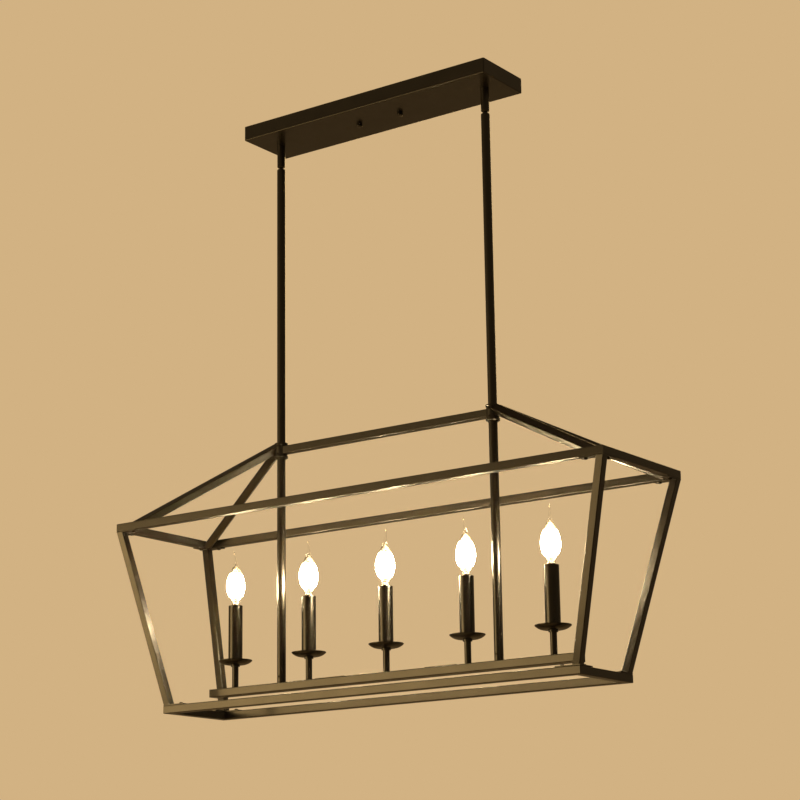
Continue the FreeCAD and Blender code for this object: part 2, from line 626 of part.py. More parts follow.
def access_covers():
    """Thin strips over the wiring slots, each with a block that snaps into its slot."""
    covers = []
    for side in SIDES.values():
        middle = side * COVER_X
        strip = centred_box(COVER_LENGTH, COVER_WIDTH, (BAR_TOP, BAR_TOP + COVER_THICKNESS))
        strip.translate(Vector(middle, 0, 0))
        reach = COVER_LENGTH / 2 - COVER_LIP - FIT
        half_width = COVER_WIDTH / 2 - COVER_LIP - FIT
        block = box((middle - reach, middle + reach), (-half_width, half_width),
                    (BAR_TOP - COVER_TAB_DEPTH, BAR_TOP))
        covers.append(strip.fuse(block))
    return covers


def bar_end_caps():
    """Rounded caps, each with a plug inside the bar."""
    caps = []
    tube_end = BAR_LENGTH / 2 - END_CAP_THICKNESS
    for side in SIDES.values():
        x = sorted((side * tube_end, side * BAR_LENGTH / 2))
        cap = box(x, (-BAR_WIDTH / 2, BAR_WIDTH / 2), (BAR_UNDERSIDE, BAR_TOP))
        end_edges = [e for e in cap.Edges if abs(e.BoundBox.Center.x) > BAR_LENGTH / 2 - FIT]
        cap = cap.makeFillet(END_CAP_ROUND, end_edges)
        half_width = BAR_WIDTH / 2 - BAR_WALL - FIT
        plug = box(sorted((side * tube_end, side * (tube_end - END_CAP_PLUG_DEPTH))), (-half_width, half_width),
                   (BAR_UNDERSIDE + BAR_WALL + FIT, BAR_TOP - BAR_WALL - FIT))
        caps.append(cap.fuse(plug))
    return caps


def bar_locknuts():
    """The nuts inside the bar, under each candle and each stem."""
    level = (BAR_TOP - BAR_WALL - LOCKNUT_HEIGHT, BAR_TOP - BAR_WALL)
    bores = [(x, CANDLE_TUBE_R + FIT) for x in CANDLE_X]
    bores += [(side * STEM_X, STEM_BORE_R) for side in SIDES.values()]
    return [hex_nut(2 * (bore + LOCKNUT_RIM), bore, *level, x) for x, bore in bores]


def candle_tubes():
    """Thin tubes with a turned collar under the dish and a threaded end through it."""
    bore = CANDLE_TUBE_R - CANDLE_TUBE_WALL
    low = BAR_TOP - CANDLE_TUBE_TAIL
    high = DISH_FLOOR + CANDLE_THREAD_LENGTH
    collar_low = DISH_UNDERSIDE - DISH_COLLAR_HEIGHT
    outline = [(bore, low), (CANDLE_TUBE_R, low), (CANDLE_TUBE_R, collar_low), (DISH_COLLAR_R, collar_low),
               (DISH_COLLAR_R, DISH_UNDERSIDE), (CANDLE_TUBE_R, DISH_UNDERSIDE), (CANDLE_TUBE_R, high),
               (bore, high)]
    return [turned(outline, x) for x in CANDLE_X]


def drip_dishes():
    """Spun dishes: flat in the middle, then rising in a curve to a plain rim."""
    rise_x = (DISH_R - DISH_FLAT_R) / 2
    lower_middle = Vector(DISH_FLAT_R + rise_x * 1.15, 0, DISH_UNDERSIDE + (DISH_DEPTH - DISH_WALL) * 0.3)
    lift = Vector(0, 0, DISH_WALL)
    inner = Vector(CANDLE_TUBE_R + FIT, 0, DISH_UNDERSIDE)
    bend = Vector(DISH_FLAT_R, 0, DISH_UNDERSIDE)
    rim = Vector(DISH_R, 0, DISH_UNDERSIDE + DISH_DEPTH - DISH_WALL)
    edges = [Part.LineSegment(inner, bend).toShape(), Part.Arc(bend, lower_middle, rim).toShape(),
             Part.LineSegment(rim, rim + lift).toShape(),
             Part.Arc(rim + lift, lower_middle + lift, bend + lift).toShape(),
             Part.LineSegment(bend + lift, inner + lift).toShape(),
             Part.LineSegment(inner + lift, inner).toShape()]
    dishes = []
    for x in CANDLE_X:
        dish = Part.Face(Part.Wire(edges)).revolve(Vector(0, 0, 0), Vector(0, 0, 1), FULL_TURN)
        dish.translate(Vector(x, 0, 0))
        dishes.append(dish)
    return dishes


def lamp_sockets():
    """Moulded sockets, screwed on the candle tubes, with a deep bore for the lamp's base."""
    thread_r = CANDLE_TUBE_R + FIT
    thread_top = DISH_FLOOR + CANDLE_THREAD_LENGTH
    bore = BASE_R + BASE_CLEARANCE + SHELL_WALL
    bore_bottom = SLEEVE_TOP - SHELL_HEIGHT - SOCKET_BELOW_SLEEVE - SOCKET_FLOOR
    outline = [(thread_r, DISH_FLOOR), (SOCKET_R, DISH_FLOOR), (SOCKET_R, SOCKET_TOP), (bore, SOCKET_TOP),
               (bore, bore_bottom), (SOCKET_WIRE_HOLE_R, bore_bottom), (SOCKET_WIRE_HOLE_R, thread_top),
               (thread_r, thread_top)]
    return [turned(outline, x) for x in CANDLE_X]


def socket_shells():
    """Thin threaded brass liners in the sockets."""
    bore = BASE_R + BASE_CLEARANCE
    return [pipe(bore + SHELL_WALL, bore, SOCKET_TOP - SHELL_HEIGHT, SOCKET_TOP, x) for x in CANDLE_X]


def candle_sleeves():
    return [pipe(SLEEVE_R, SLEEVE_R - SLEEVE_WALL, DISH_FLOOR, SLEEVE_TOP, x) for x in CANDLE_X]


def lamp_base(x):
    """The screw base with its end contact, and the filament on its glass stem."""
    shell = turned([(0, BASE_BOTTOM - CONTACT_HEIGHT), (CONTACT_R, BASE_BOTTOM - CONTACT_HEIGHT),
                    (CONTACT_R, BASE_BOTTOM), (BASE_R, BASE_BOTTOM), (BASE_R, BASE_TOP), (0, BASE_TOP)], x)
    filament = rod(FILAMENT_R, BASE_TOP, BASE_TOP + FILAMENT_HEIGHT, x)
    return [shell, filament]


def revolved_bulb(outline, x):
    """A turned solid with a smooth side through (radius, height above the base) points."""
    points = [Vector(radius, 0, BASE_TOP + height) for radius, height in outline]
    side = Part.BSplineCurve()
    side.interpolate(points)
    bottom, top = (Vector(0, 0, p.z) for p in (points[0], points[-1]))
    edges = [Part.LineSegment(bottom, points[0]).toShape(), side.toShape(),
             Part.LineSegment(points[-1], top).toShape(), Part.LineSegment(top, bottom).toShape()]
    solid = Part.Face(Part.Wire(edges)).revolve(Vector(0, 0, 0), Vector(0, 0, 1), FULL_TURN)
    solid.translate(Vector(x, 0, 0))
    return solid


def lamp_bulb(x):
    """The glass envelope, open over its base."""
    outer = revolved_bulb(BULB_OUTLINE, x)
    cavity = [(radius - BULB_WALL, height) for radius, height in BULB_OUTLINE[:BULB_CAVITY_TOP]]
    return outer.cut(revolved_bulb(cavity, x))


def lead_wires():
    """Two leads on each side, from inside the swivel, over the canopy floor, to the connectors."""
    start = BALL_CENTRE + BALL_R + NIPPLE_TO_BALL_GAP
    turn = CANOPY_FLOOR + LOCKNUT_HEIGHT + NIPPLE_PROUD + LEAD_BEND
    leads = []
    for side in SIDES.values():
        for lane in (-1, 1):
            points = [Vector(side * STEM_X, lane * WIRE_PAIR_SPACING / 2, start),
                      Vector(side * STEM_X, lane * WIRE_PAIR_SPACING / 2, turn),
                      Vector(side * (STEM_X - LEAD_TURN_RUN), lane * LEAD_SPREAD / 2, turn),
                      Vector(side * (CONNECTOR_NEAR + CONNECTOR_LENGTH), lane * LEAD_SPREAD / 2, turn)]
            leads.append(bent_wire(points, [LEAD_BEND, LEAD_SIDE_BEND], WIRE_R))
    return leads


def wire_connectors():
    """Twist-on cones at the ends of the leads."""
    level = CANOPY_FLOOR + LOCKNUT_HEIGHT + NIPPLE_PROUD + LEAD_BEND
    cones = []
    for side in SIDES.values():
        for lane in (-1, 1):
            mouth = Vector(side * (CONNECTOR_NEAR + CONNECTOR_LENGTH), lane * LEAD_SPREAD / 2, level)
            inwards = Vector(-side, 0, 0)
            cones.append(Part.makeCone(CONNECTOR_MOUTH_R, CONNECTOR_TIP_R, CONNECTOR_LENGTH, mouth, inwards))
    return cones


def fixture_wires():
    """The lead down each stem, two conductors along the floor of the bar, and one lead up each candle."""
    floor = BAR_UNDERSIDE + BAR_WALL
    conductor = floor + WIRE_R
    reach = BAR_LENGTH / 2 - END_CAP_THICKNESS - END_CAP_PLUG_DEPTH
    wires = []
    for side in SIDES.values():
        wires.append(rod(STEM_WIRE_R, conductor + WIRE_R, BALL_CENTRE + BALL_R - FIT, side * STEM_X))
        lane = side * BAR_WIRE_SPACING / 2
        wires.append(Part.makeCylinder(WIRE_R, 2 * reach, Vector(-reach, lane, conductor), Vector(1, 0, 0)))
    socket_floor = SLEEVE_TOP - SHELL_HEIGHT - SOCKET_BELOW_SLEEVE - SOCKET_FLOOR
    for x in CANDLE_X:
        wires.append(rod(STEM_WIRE_R, conductor + WIRE_R, socket_floor, x))
    return wires


def save(name, solids):
    """Writes one sub-part, either a solid or a group of separate solids."""
    if isinstance(solids, list):
        shape = Part.makeCompound(solids)
    else:
        shape = solids
    shape.exportStep(os.path.join("parts", name + ".step"))


os.makedirs("parts", exist_ok=True)

save("canopy", canopy())
save("mounting_bracket", mounting_bracket())
save("canopy_studs", canopy_studs())
save("stud_nuts", stud_nuts())
save("canopy_cap_nuts", canopy_cap_nuts())
save("ground_screw", ground_screw())
save("swivel_nipples", swivel_nipples())
save("swivel_locknuts", swivel_locknuts())
save("lead_wires", lead_wires())
save("wire_connectors", wire_connectors())

for side_name, side_sign in SIDES.items():
    save("swivel_housing_" + side_name, swivel_housing(side_sign))
    save("swivel_ball_" + side_name, swivel_ball(side_sign))
    save("upper_stem_" + side_name, upper_stem(side_sign))
    save("hub_" + side_name, hub(side_sign))
    save("lower_stem_" + side_name, lower_stem(side_sign))

save("set_screws", set_screws())
save("stem_nipples", stem_nipples())
save("ridge_bar", ridge_bar())
for corner_name in CORNERS:
    save("hip_bar_" + corner_name, hip_bar(corner_name))
    save("leg_" + corner_name, leg(corner_name))
for rail_name in ("front", "back", "left", "right"):
    save("top_rail_" + rail_name, rail(TOP_FRAME_LENGTH, TOP_FRAME_WIDTH, TOP_FRAME_TOP, rail_name, -1))
    save("bottom_rail_" + rail_name, rail(BOTTOM_FRAME_LENGTH, BOTTOM_FRAME_WIDTH, BOTTOM_FRAME_TOP, rail_name, 1))
save("leg_screws", leg_screws())

save("light_bar", light_bar())
save("access_covers", access_covers())
save("bar_end_caps", bar_end_caps())
save("bar_locknuts", bar_locknuts())
save("candle_tubes", candle_tubes())
save("drip_dishes", drip_dishes())
save("lamp_sockets", lamp_sockets())
save("socket_shells", socket_shells())
save("candle_sleeves", candle_sleeves())
save("fixture_wires", fixture_wires())
for number, candle_x in enumerate(CANDLE_X, 1):
    save(f"lamp_base_{number}", lamp_base(candle_x))
    save(f"lamp_bulb_{number}", lamp_bulb(candle_x))
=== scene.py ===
"""Linear island pendant: the finish of every surface, the lamps and the small turned parts.

Metres, +Z up, +X along the length. The origin is the centre of the canopy's rim, where it meets the ceiling.
The sections follow the pendant from the ceiling down, in the order in which it is put together.
"""

import math

import bmesh
import bpy
from mathutils import Matrix, Vector


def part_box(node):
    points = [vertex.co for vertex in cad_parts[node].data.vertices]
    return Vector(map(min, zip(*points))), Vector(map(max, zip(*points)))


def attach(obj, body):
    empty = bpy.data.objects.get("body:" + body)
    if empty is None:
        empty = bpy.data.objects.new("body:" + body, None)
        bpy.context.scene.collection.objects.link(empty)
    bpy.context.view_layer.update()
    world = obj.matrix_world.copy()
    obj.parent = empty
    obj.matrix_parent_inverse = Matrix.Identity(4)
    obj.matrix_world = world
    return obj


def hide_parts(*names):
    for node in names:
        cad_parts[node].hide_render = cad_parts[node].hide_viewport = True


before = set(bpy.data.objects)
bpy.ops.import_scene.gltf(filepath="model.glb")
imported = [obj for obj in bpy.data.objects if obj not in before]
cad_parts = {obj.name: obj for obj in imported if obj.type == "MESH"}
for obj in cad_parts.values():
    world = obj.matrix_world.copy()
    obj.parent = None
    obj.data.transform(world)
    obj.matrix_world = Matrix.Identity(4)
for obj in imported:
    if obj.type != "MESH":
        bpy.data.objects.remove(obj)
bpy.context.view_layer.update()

# The canopy: a long shallow tray of folded steel, painted bronze like nearly all that shows of the pendant.
# The paint is a dark brown baked acrylic with bronze flake, under a thin clear coat. It has a satin sheen, a
# slight orange peel and a faint cloudiness. The flake is drawn about three times its size, to make it show.
MM = 0.001
PAINT_BROWN = "#0F0A05"
PAINT_WARM_BROWN = "#151007"
PAINT_FLAKE = "#3F321F"
PAINT_CLOUD = 45 * MM
PAINT_FLAKE_SIZE = 0.45 * MM
PAINT_FLAKE_SHARE = 0.10
PAINT_FLAKE_COVER = 0.6
PAINT_PEEL = 1.1 * MM
PAINT_PEEL_HEIGHT = 0.012 * MM
PAINT_ROUGHNESS = (0.37, 0.45)
# Most of a noise pattern's values lie between these two.
NOISE_LOW = 0.3
NOISE_HIGH = 0.7


def linear(colour, alpha=1.0):
    """Turns an sRGB hex colour into the linear colour that a shader takes."""
    channels = [int(colour[i:i + 2], 16) / 255 for i in (1, 3, 5)]
    return [c / 12.92 if c <= 0.04045 else ((c + 0.055) / 1.055) ** 2.4 for c in channels] + [alpha]


def add_node(tree, kind, settings=None, links=None):
    """Adds a node, gives its sockets and properties their values, and links other nodes to its sockets."""
    node = tree.nodes.new(kind)
    for name, value in (settings or {}).items():
        if isinstance(name, int) or name in node.inputs:
            node.inputs[name].default_value = value
        else:
            setattr(node, name, value)
    for name, output in (links or {}).items():
        tree.links.new(output, node.inputs[name])
    return node


def new_material(name, settings):
    """Makes a material with one main shader, and gives back the material, its node tree and that shader."""
    material = bpy.data.materials.new(name)
    material.use_nodes = True
    shader = material.node_tree.nodes["Principled BSDF"]
    for socket, value in settings.items():
        shader.inputs[socket].default_value = value
    return material, material.node_tree, shader


def baked_bronze_paint():
    material, tree, shader = new_material("baked_bronze_paint", {
        "Metallic": 0.1, "IOR": 1.5, "Coat Weight": 0.5, "Coat Roughness": 0.16, "Coat IOR": 1.5})
    place = add_node(tree, "ShaderNodeTexCoord").outputs["Object"]
    cloud = add_node(tree, "ShaderNodeTexNoise", {"Scale": 1 / PAINT_CLOUD, "Detail": 3.0}, {"Vector": place})
    browns = add_node(tree, "ShaderNodeMix",
                      {"data_type": "RGBA", 6: linear(PAINT_BROWN), 7: linear(PAINT_WARM_BROWN)},
                      {0: cloud.outputs["Fac"]})
    grains = add_node(tree, "ShaderNodeTexVoronoi", {"Scale": 1 / PAINT_FLAKE_SIZE}, {"Vector": place})
    chance = add_node(tree, "ShaderNodeSeparateColor", {}, {"Color": grains.outputs["Color"]})
    flake = add_node(tree, "ShaderNodeMapRange",
                     {"From Min": 1 - PAINT_FLAKE_SHARE, "From Max": 1.0,
                      "To Min": 0.0, "To Max": PAINT_FLAKE_COVER},
                     {"Value": chance.outputs["Red"]})
    colour = add_node(tree, "ShaderNodeMix", {"data_type": "RGBA", 7: linear(PAINT_FLAKE)},
                      {0: flake.outputs["Result"], 6: browns.outputs[2]})
    tree.links.new(colour.outputs[2], shader.inputs["Base Color"])
    peel = add_node(tree, "ShaderNodeTexNoise", {"Scale": 1 / PAINT_PEEL, "Detail": 2.0}, {"Vector": place})
    smooth, rough = PAINT_ROUGHNESS
    sheen = add_node(tree, "ShaderNodeMapRange",
                     {"From Min": NOISE_LOW, "From Max": NOISE_HIGH, "To Min": smooth, "To Max": rough},
                     {"Value": cloud.outputs["Fac"]})
    tree.links.new(sheen.outputs["Result"], shader.inputs["Roughness"])
    bump = add_node(tree, "ShaderNodeBump", {"Strength": 0.6, "Distance": PAINT_PEEL_HEIGHT},
                    {"Height": peel.outputs["Fac"]})
    tree.links.new(bump.outputs["Normal"], shader.inputs["Normal"])
    return material


def finish_nodes(material, *names):
    """Gives CAD nodes their finish."""
    for name in names:
        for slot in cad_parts[name].material_slots:
            slot.material = material


paint = baked_bronze_paint()
finish_nodes(paint, "canopy")

# The zinc-plated parts hidden in the canopy and the light bar: a bracket that screws to the outlet box, its
# studs and nuts, and the nipples and lock nuts of the swivels, the stems and the candles. Bright zinc is a
# bluish grey with a fine mottle.
ZINC_GREY = "#A9ABAD"
ZINC_DULL = "#8A8D90"
ZINC_MOTTLE = 2.5 * MM
ZINC_ROUGHNESS = (0.28, 0.46)


def zinc_plated_steel():
    material, tree, shader = new_material("zinc_plated_steel", {"Metallic": 1.0})
    place = add_node(tree, "ShaderNodeTexCoord").outputs["Object"]
    mottle = add_node(tree, "ShaderNodeTexNoise", {"Scale": 1 / ZINC_MOTTLE, "Detail": 4.0},
                      {"Vector": place})
    colour = add_node(tree, "ShaderNodeMix",
                      {"data_type": "RGBA", 6: linear(ZINC_GREY), 7: linear(ZINC_DULL)},
                      {0: mottle.outputs["Fac"]})
    tree.links.new(colour.outputs[2], shader.inputs["Base Color"])
    smooth, rough = ZINC_ROUGHNESS
    sheen = add_node(tree, "ShaderNodeMapRange",
                     {"From Min": NOISE_LOW, "From Max": NOISE_HIGH, "To Min": smooth, "To Max": rough},
                     {"Value": mottle.outputs["Fac"]})
    tree.links.new(sheen.outputs["Result"], shader.inputs["Roughness"])
    return material


zinc = zinc_plated_steel()
finish_nodes(zinc, "mounting_bracket", "canopy_studs", "stud_nuts", "swivel_nipples", "swivel_locknuts",
             "stem_nipples", "bar_locknuts")

# The earth screw under the bracket: zinc-plated steel, dyed green to mark it as the earth. The dye is thin,
# so the bright metal still shines through it.
EARTH_GREEN = "#1E6B3A"
EARTH_GREEN_THIN = "#3C8A58"


def green_dyed_zinc():
    material, tree, shader = new_material("green_dyed_zinc", {"Metallic": 0.8, "Roughness": 0.35})
    place = add_node(tree, "ShaderNodeTexCoord").outputs["Object"]
    streaks = add_node(tree, "ShaderNodeTexNoise", {"Scale": 1 / ZINC_MOTTLE, "Detail": 3.0},
                       {"Vector": place})
    colour = add_node(tree, "ShaderNodeMix",
                      {"data_type": "RGBA", 6: linear(EARTH_GREEN), 7: linear(EARTH_GREEN_THIN)},
                      {0: streaks.outputs["Fac"]})
    tree.links.new(colour.outputs[2], shader.inputs["Base Color"])
    return material


finish_nodes(green_dyed_zinc(), "ground_screw")

# The leads, in extruded PVC: one black in front and one white behind it from each stem, joined in the canopy.
# PVC is slightly soft, with a waxy sheen and faint draw marks.
LEAD_BLACK = "#1B1A19"
LEAD_WHITE = "#D9D6CC"
PVC_MARKS = 0.6 * MM
PVC_MARK_HEIGHT = 0.01 * MM


def extruded_pvc():
    material, tree, shader = new_material("extruded_pvc", {"Roughness": 0.42, "IOR": 1.53})
    place = add_node(tree, "ShaderNodeTexCoord").outputs["Object"]
    side = add_node(tree, "ShaderNodeSeparateXYZ", {}, {"Vector": place})
    behind = add_node(tree, "ShaderNodeMath", {"operation": "GREATER_THAN", 1: 0.0}, {0: side.outputs["Y"]})
    colour = add_node(tree, "ShaderNodeMix",
                      {"data_type": "RGBA", 6: linear(LEAD_BLACK), 7: linear(LEAD_WHITE)},
                      {0: behind.outputs["Value"]})
    tree.links.new(colour.outputs[2], shader.inputs["Base Color"])
    marks = add_node(tree, "ShaderNodeTexNoise", {"Scale": 1 / PVC_MARKS, "Detail": 2.0}, {"Vector": place})
    bump = add_node(tree, "ShaderNodeBump", {"Strength": 0.5, "Distance": PVC_MARK_HEIGHT},
                    {"Height": marks.outputs["Fac"]})
    tree.links.new(bump.outputs["Normal"], shader.inputs["Normal"])
    return material


finish_nodes(extruded_pvc(), "lead_wires", "fixture_wires")

# The two cap nuts that hold the canopy up: turned brass, painted, with a fine straight knurl round the side
# and a slightly rounded closed end. Each screws on to a stud.
CAP_NUT_OUTLINE = [(0.0, -6.0), (3.3, -6.0), (4.1, -5.75), (4.6, -5.2), (4.7, -4.8), (4.7, -0.9),
                   (4.45, -0.5), (4.45, 0.0), (2.0, 0.0), (2.0, -4.0), (0.0, -4.6)]
CAP_NUT_RIDGES = 36
CAP_NUT_RIDGE_DEPTH = 0.12 * MM
CAP_NUT_KNURL = (-4.85 * MM, -0.85 * MM)
CAP_NUT_SIDE = 4.6 * MM
CAP_NUT_STEPS = 4 * CAP_NUT_RIDGES
SMOOTH_ANGLE = math.radians(35)
MERGE_DISTANCE = 0.001 * MM


def solid_boxes(node):
    """Gives the lowest and highest corners of each separate solid in a CAD node, from left to right."""
    mesh = bmesh.new()
    mesh.from_mesh(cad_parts[node].data)
    bmesh.ops.remove_doubles(mesh, verts=mesh.verts, dist=MERGE_DISTANCE)
    boxes = []
    unseen = set(mesh.verts)
    while unseen:
        solid, to_follow = set(), [unseen.pop()]
        while to_follow:
            vertex = to_follow.pop()
            solid.add(vertex)
            linked = {edge.other_vert(vertex) for edge in vertex.link_edges} & unseen
            unseen -= linked
            to_follow.extend(linked)
        low, high = ([end(vertex.co[axis] for vertex in solid) for axis in range(3)] for end in (min, max))
        boxes.append((Vector(low), Vector(high)))
    mesh.free()
    return sorted(boxes, key=lambda box: [round(c, 5) for c in box[0]])


def spun(name, outline, steps, centre=(0.0, 0.0, 0.0)):
    """Spins a closed outline of (radius, height) points in millimetres round an upright axis."""
    bpy.ops.object.select_all(action="DESELECT")
    bpy.ops.mesh.primitive_circle_add(vertices=len(outline), radius=MM)
    piece = bpy.context.object
    piece.name = piece.data.name = name
    for vertex, (radius, height) in zip(piece.data.vertices, outline):
        vertex.co = Vector(centre) + Vector((radius * MM, 0, height * MM))
    bpy.ops.object.mode_set(mode="EDIT")
    bpy.ops.mesh.select_all(action="SELECT")
    bpy.ops.mesh.spin(steps=steps, angle=math.tau, center=centre, axis=(0, 0, 1))
    bpy.ops.mesh.select_all(action="SELECT")
    bpy.ops.mesh.remove_doubles(threshold=MERGE_DISTANCE)
    bpy.ops.mesh.normals_make_consistent(inside=False)
    bpy.ops.object.mode_set(mode="OBJECT")
    bpy.ops.object.shade_smooth_by_angle(angle=SMOOTH_ANGLE)
    return piece


def ridged(piece, count, depth, low, high, least_radius):
    """Draws the side of a turned piece in between its ridges, from one height to another.

    Only what lies further out than the least radius is the side.
    """
    for vertex in piece.data.vertices:
        radius = math.hypot(vertex.co.x, vertex.co.y)
        if low < vertex.co.z < high and radius > least_radius:
            ridge = math.cos(count * math.atan2(vertex.co.y, vertex.co.x))
            shrink = 1 - depth * (1 - ridge) / 2 / radius
            vertex.co = (vertex.co.x * shrink, vertex.co.y * shrink, vertex.co.z)


def copied(piece, name, move, turn=Matrix.Identity(4)):
    """Copies a piece with its own mesh, turned about the origin and then moved."""
    copy = piece.copy()
    copy.data = piece.data.copy()
    copy.name = copy.data.name = name
    copy.data.transform(Matrix.Translation(move) @ turn)
    bpy.context.scene.collection.objects.link(copy)
    return copy


def joined(name, pieces):
    """Joins pieces into one object, with one mesh."""
    bpy.ops.object.select_all(action="DESELECT")
    for piece in pieces:
        piece.select_set(True)
    bpy.context.view_layer.objects.active = pieces[0]
    bpy.ops.object.join()
    pieces[0].name = pieces[0].data.name = name
    return pieces[0]


def put_on(piece, material, body, slot, *nodes):
    """Gives a piece its finish and its body, and hides the CAD nodes that it stands for. The slot is not
    used.
    """
    piece.data.materials.clear()
    piece.data.materials.append(material)
    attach(piece, body)
    if nodes:
        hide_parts(*nodes)


cap_nut = spun("cap_nut", CAP_NUT_OUTLINE, CAP_NUT_STEPS)
ridged(cap_nut, CAP_NUT_RIDGES, CAP_NUT_RIDGE_DEPTH, *CAP_NUT_KNURL, CAP_NUT_SIDE)
cap_nuts = [copied(cap_nut, "cap_nut", ((low.x + high.x) / 2, 0, high.z))
            for low, high in solid_boxes("canopy_cap_nuts")]
bpy.data.objects.remove(cap_nut)
put_on(joined("cap_nuts", cap_nuts), paint, "canopy_group", "bronze_paint", "canopy_cap_nuts")

# The twist-on connectors, moulded in orange nylon: cones, closed at the tip and ribbed for a good grip.
# Moulded nylon is a little translucent and has a fine spark-eroded texture.
NYLON_ORANGE = "#C4621C"
NYLON_LIGHT_REACH = (2 * MM, 1.2 * MM, 0.5 * MM)
NYLON_TEXTURE = 0.35 * MM
NYLON_TEXTURE_HEIGHT = 0.02 * MM
CONNECTOR_OUTLINE = [(3.6, 0.0), (4.7, 0.0), (5.0, 0.4), (5.0, 2.6), (4.6, 3.4), (3.5, 18.4), (3.1, 19.5),
                     (2.3, 20.0), (0.0, 20.0), (0.0, 14.0), (2.0, 14.0)]
CONNECTOR_RIBS = 12
CONNECTOR_RIB_DEPTH = 0.45 * MM
CONNECTOR_RIBBED = (3.0 * MM, 19.0 * MM)
CONNECTOR_SIDE = 2.5 * MM
CONNECTOR_STEPS = 8 * CONNECTOR_RIBS


def moulded_nylon():
    material, tree, shader = new_material("moulded_nylon", {
        "Base Color": linear(NYLON_ORANGE), "Roughness": 0.45, "IOR": 1.53,
        "Subsurface Weight": 0.1, "Subsurface Radius": NYLON_LIGHT_REACH})
    place = add_node(tree, "ShaderNodeTexCoord").outputs["Object"]
    sparks = add_node(tree, "ShaderNodeTexNoise", {"Scale": 1 / NYLON_TEXTURE, "Detail": 2.0},
                      {"Vector": place})
    bump = add_node(tree, "ShaderNodeBump", {"Strength": 0.5, "Distance": NYLON_TEXTURE_HEIGHT},
                    {"Height": sparks.outputs["Fac"]})
    tree.links.new(bump.outputs["Normal"], shader.inputs["Normal"])
    return material


connector = spun("connector", CONNECTOR_OUTLINE, CONNECTOR_STEPS)
ridged(connector, CONNECTOR_RIBS, CONNECTOR_RIB_DEPTH, *CONNECTOR_RIBBED, CONNECTOR_SIDE)
connectors = []
for low, high in solid_boxes("wire_connectors"):
    outer_end = high.x if high.x > 0 else low.x
    turn = Matrix.Rotation(math.copysign(math.pi / 2, -outer_end), 4, "Y")
    mouth = (outer_end, (low.y + high.y) / 2, (low.z + high.z) / 2)
    connectors.append(copied(connector, "connector", mouth, turn))
bpy.data.objects.remove(connector)
put_on(joined("twist_on_connectors", connectors), moulded_nylon(), "canopy_group", "connector_plastic",
       "wire_connectors")

# The swivels and stems: a housing fixed under the canopy, a ball with its neck and collar on top of each
# stem, and two stems on each side, one above the hub and one below it. All are painted steel tube.
for side in ("left", "right"):
    finish_nodes(paint, "swivel_housing_" + side, "swivel_ball_" + side,
                 "upper_stem_" + side, "lower_stem_" + side)

# The hubs: turned couplings that join the stems, with a collar at each end and a narrow neck below. The roof
# bars are brazed to them, and two set screws in each one hold the stems. The stems pass through the bore.
HUB_BORE = 6.95
HUB_BODY = 10.0
HUB_COLLAR = 11.0
HUB_NECK = 8.2
HUB_NECK_HEIGHT = 1.7
HUB_LOWER_COLLAR_HEIGHT = 3.6
HUB_UPPER_COLLAR_HEIGHT = 3.2
HUB_CHAMFER = 0.5
HUB_STEPS = 72
SET_SCREW_BORE = 1.85
SET_SCREW_BORE_DEPTH = 8
SET_SCREW_STEPS = 32


def cut(piece, cutter):
    """Cuts one piece out of another, and deletes the cutter."""
    bpy.ops.object.select_all(action="DESELECT")
    piece.select_set(True)
    bpy.context.view_layer.objects.active = piece
    opening = piece.modifiers.new("opening", "BOOLEAN")
    opening.operation = "DIFFERENCE"
    opening.solver = "EXACT"
    opening.object = cutter
    bpy.ops.object.modifier_apply(modifier=opening.name)
    bpy.data.objects.remove(cutter)
    bpy.ops.object.shade_smooth_by_angle(angle=SMOOTH_ANGLE)


set_screw_boxes = solid_boxes("set_screws")
for side in ("left", "right"):
    low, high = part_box("hub_" + side)
    centre = ((low.x + high.x) / 2, (low.y + high.y) / 2, low.z)
    height = (high.z - low.z) / MM
    lower_step, upper_step = HUB_LOWER_COLLAR_HEIGHT, height - HUB_UPPER_COLLAR_HEIGHT
    collar_face = HUB_COLLAR - HUB_CHAMFER
    outline = [(HUB_BORE, -HUB_NECK_HEIGHT), (HUB_NECK, -HUB_NECK_HEIGHT), (HUB_NECK, 0),
               (collar_face, 0), (HUB_COLLAR, HUB_CHAMFER), (HUB_COLLAR, lower_step - HUB_CHAMFER),
               (collar_face, lower_step), (HUB_BODY, lower_step), (HUB_BODY, upper_step),
               (collar_face, upper_step), (HUB_COLLAR, upper_step + HUB_CHAMFER),
               (HUB_COLLAR, height - HUB_CHAMFER), (collar_face, height), (HUB_BORE, height)]
    hub = spun("hub_coupling_" + side, outline, HUB_STEPS, centre)
    for screw_low, screw_high in set_screw_boxes:
        middle = (screw_low + screw_high) / 2
        if abs(middle.x - centre[0]) < HUB_BODY * MM and low.z < middle.z < high.z:
            bpy.ops.object.select_all(action="DESELECT")
            bpy.ops.mesh.primitive_cylinder_add(vertices=SET_SCREW_STEPS, radius=SET_SCREW_BORE * MM,
                                                depth=SET_SCREW_BORE_DEPTH * MM, location=middle,
                                                rotation=(math.pi / 2, 0, 0))
            cut(hub, bpy.context.object)
    put_on(hub, paint, "cage_group", "bronze_paint", "hub_" + side)

# The set screws: two in each hub and one at the foot of each lower stem. They are blackened steel, with a
# hexagon socket in the end that stands a little proud. The oxide is near black and wears to a dull brown.
SET_SCREW_RADIUS = 1.8
SET_SCREW_CHAMFER = 0.3
SET_SCREW_SOCKET = 1.0
SET_SCREW_SOCKET_DEPTH = 1.1
BLACK_OXIDE = "#1A1816"
BLACK_OXIDE_WORN = "#3A362F"
BLACK_OXIDE_WEAR = 1.0 * MM
BLACK_OXIDE_ROUGHNESS = (0.22, 0.4)


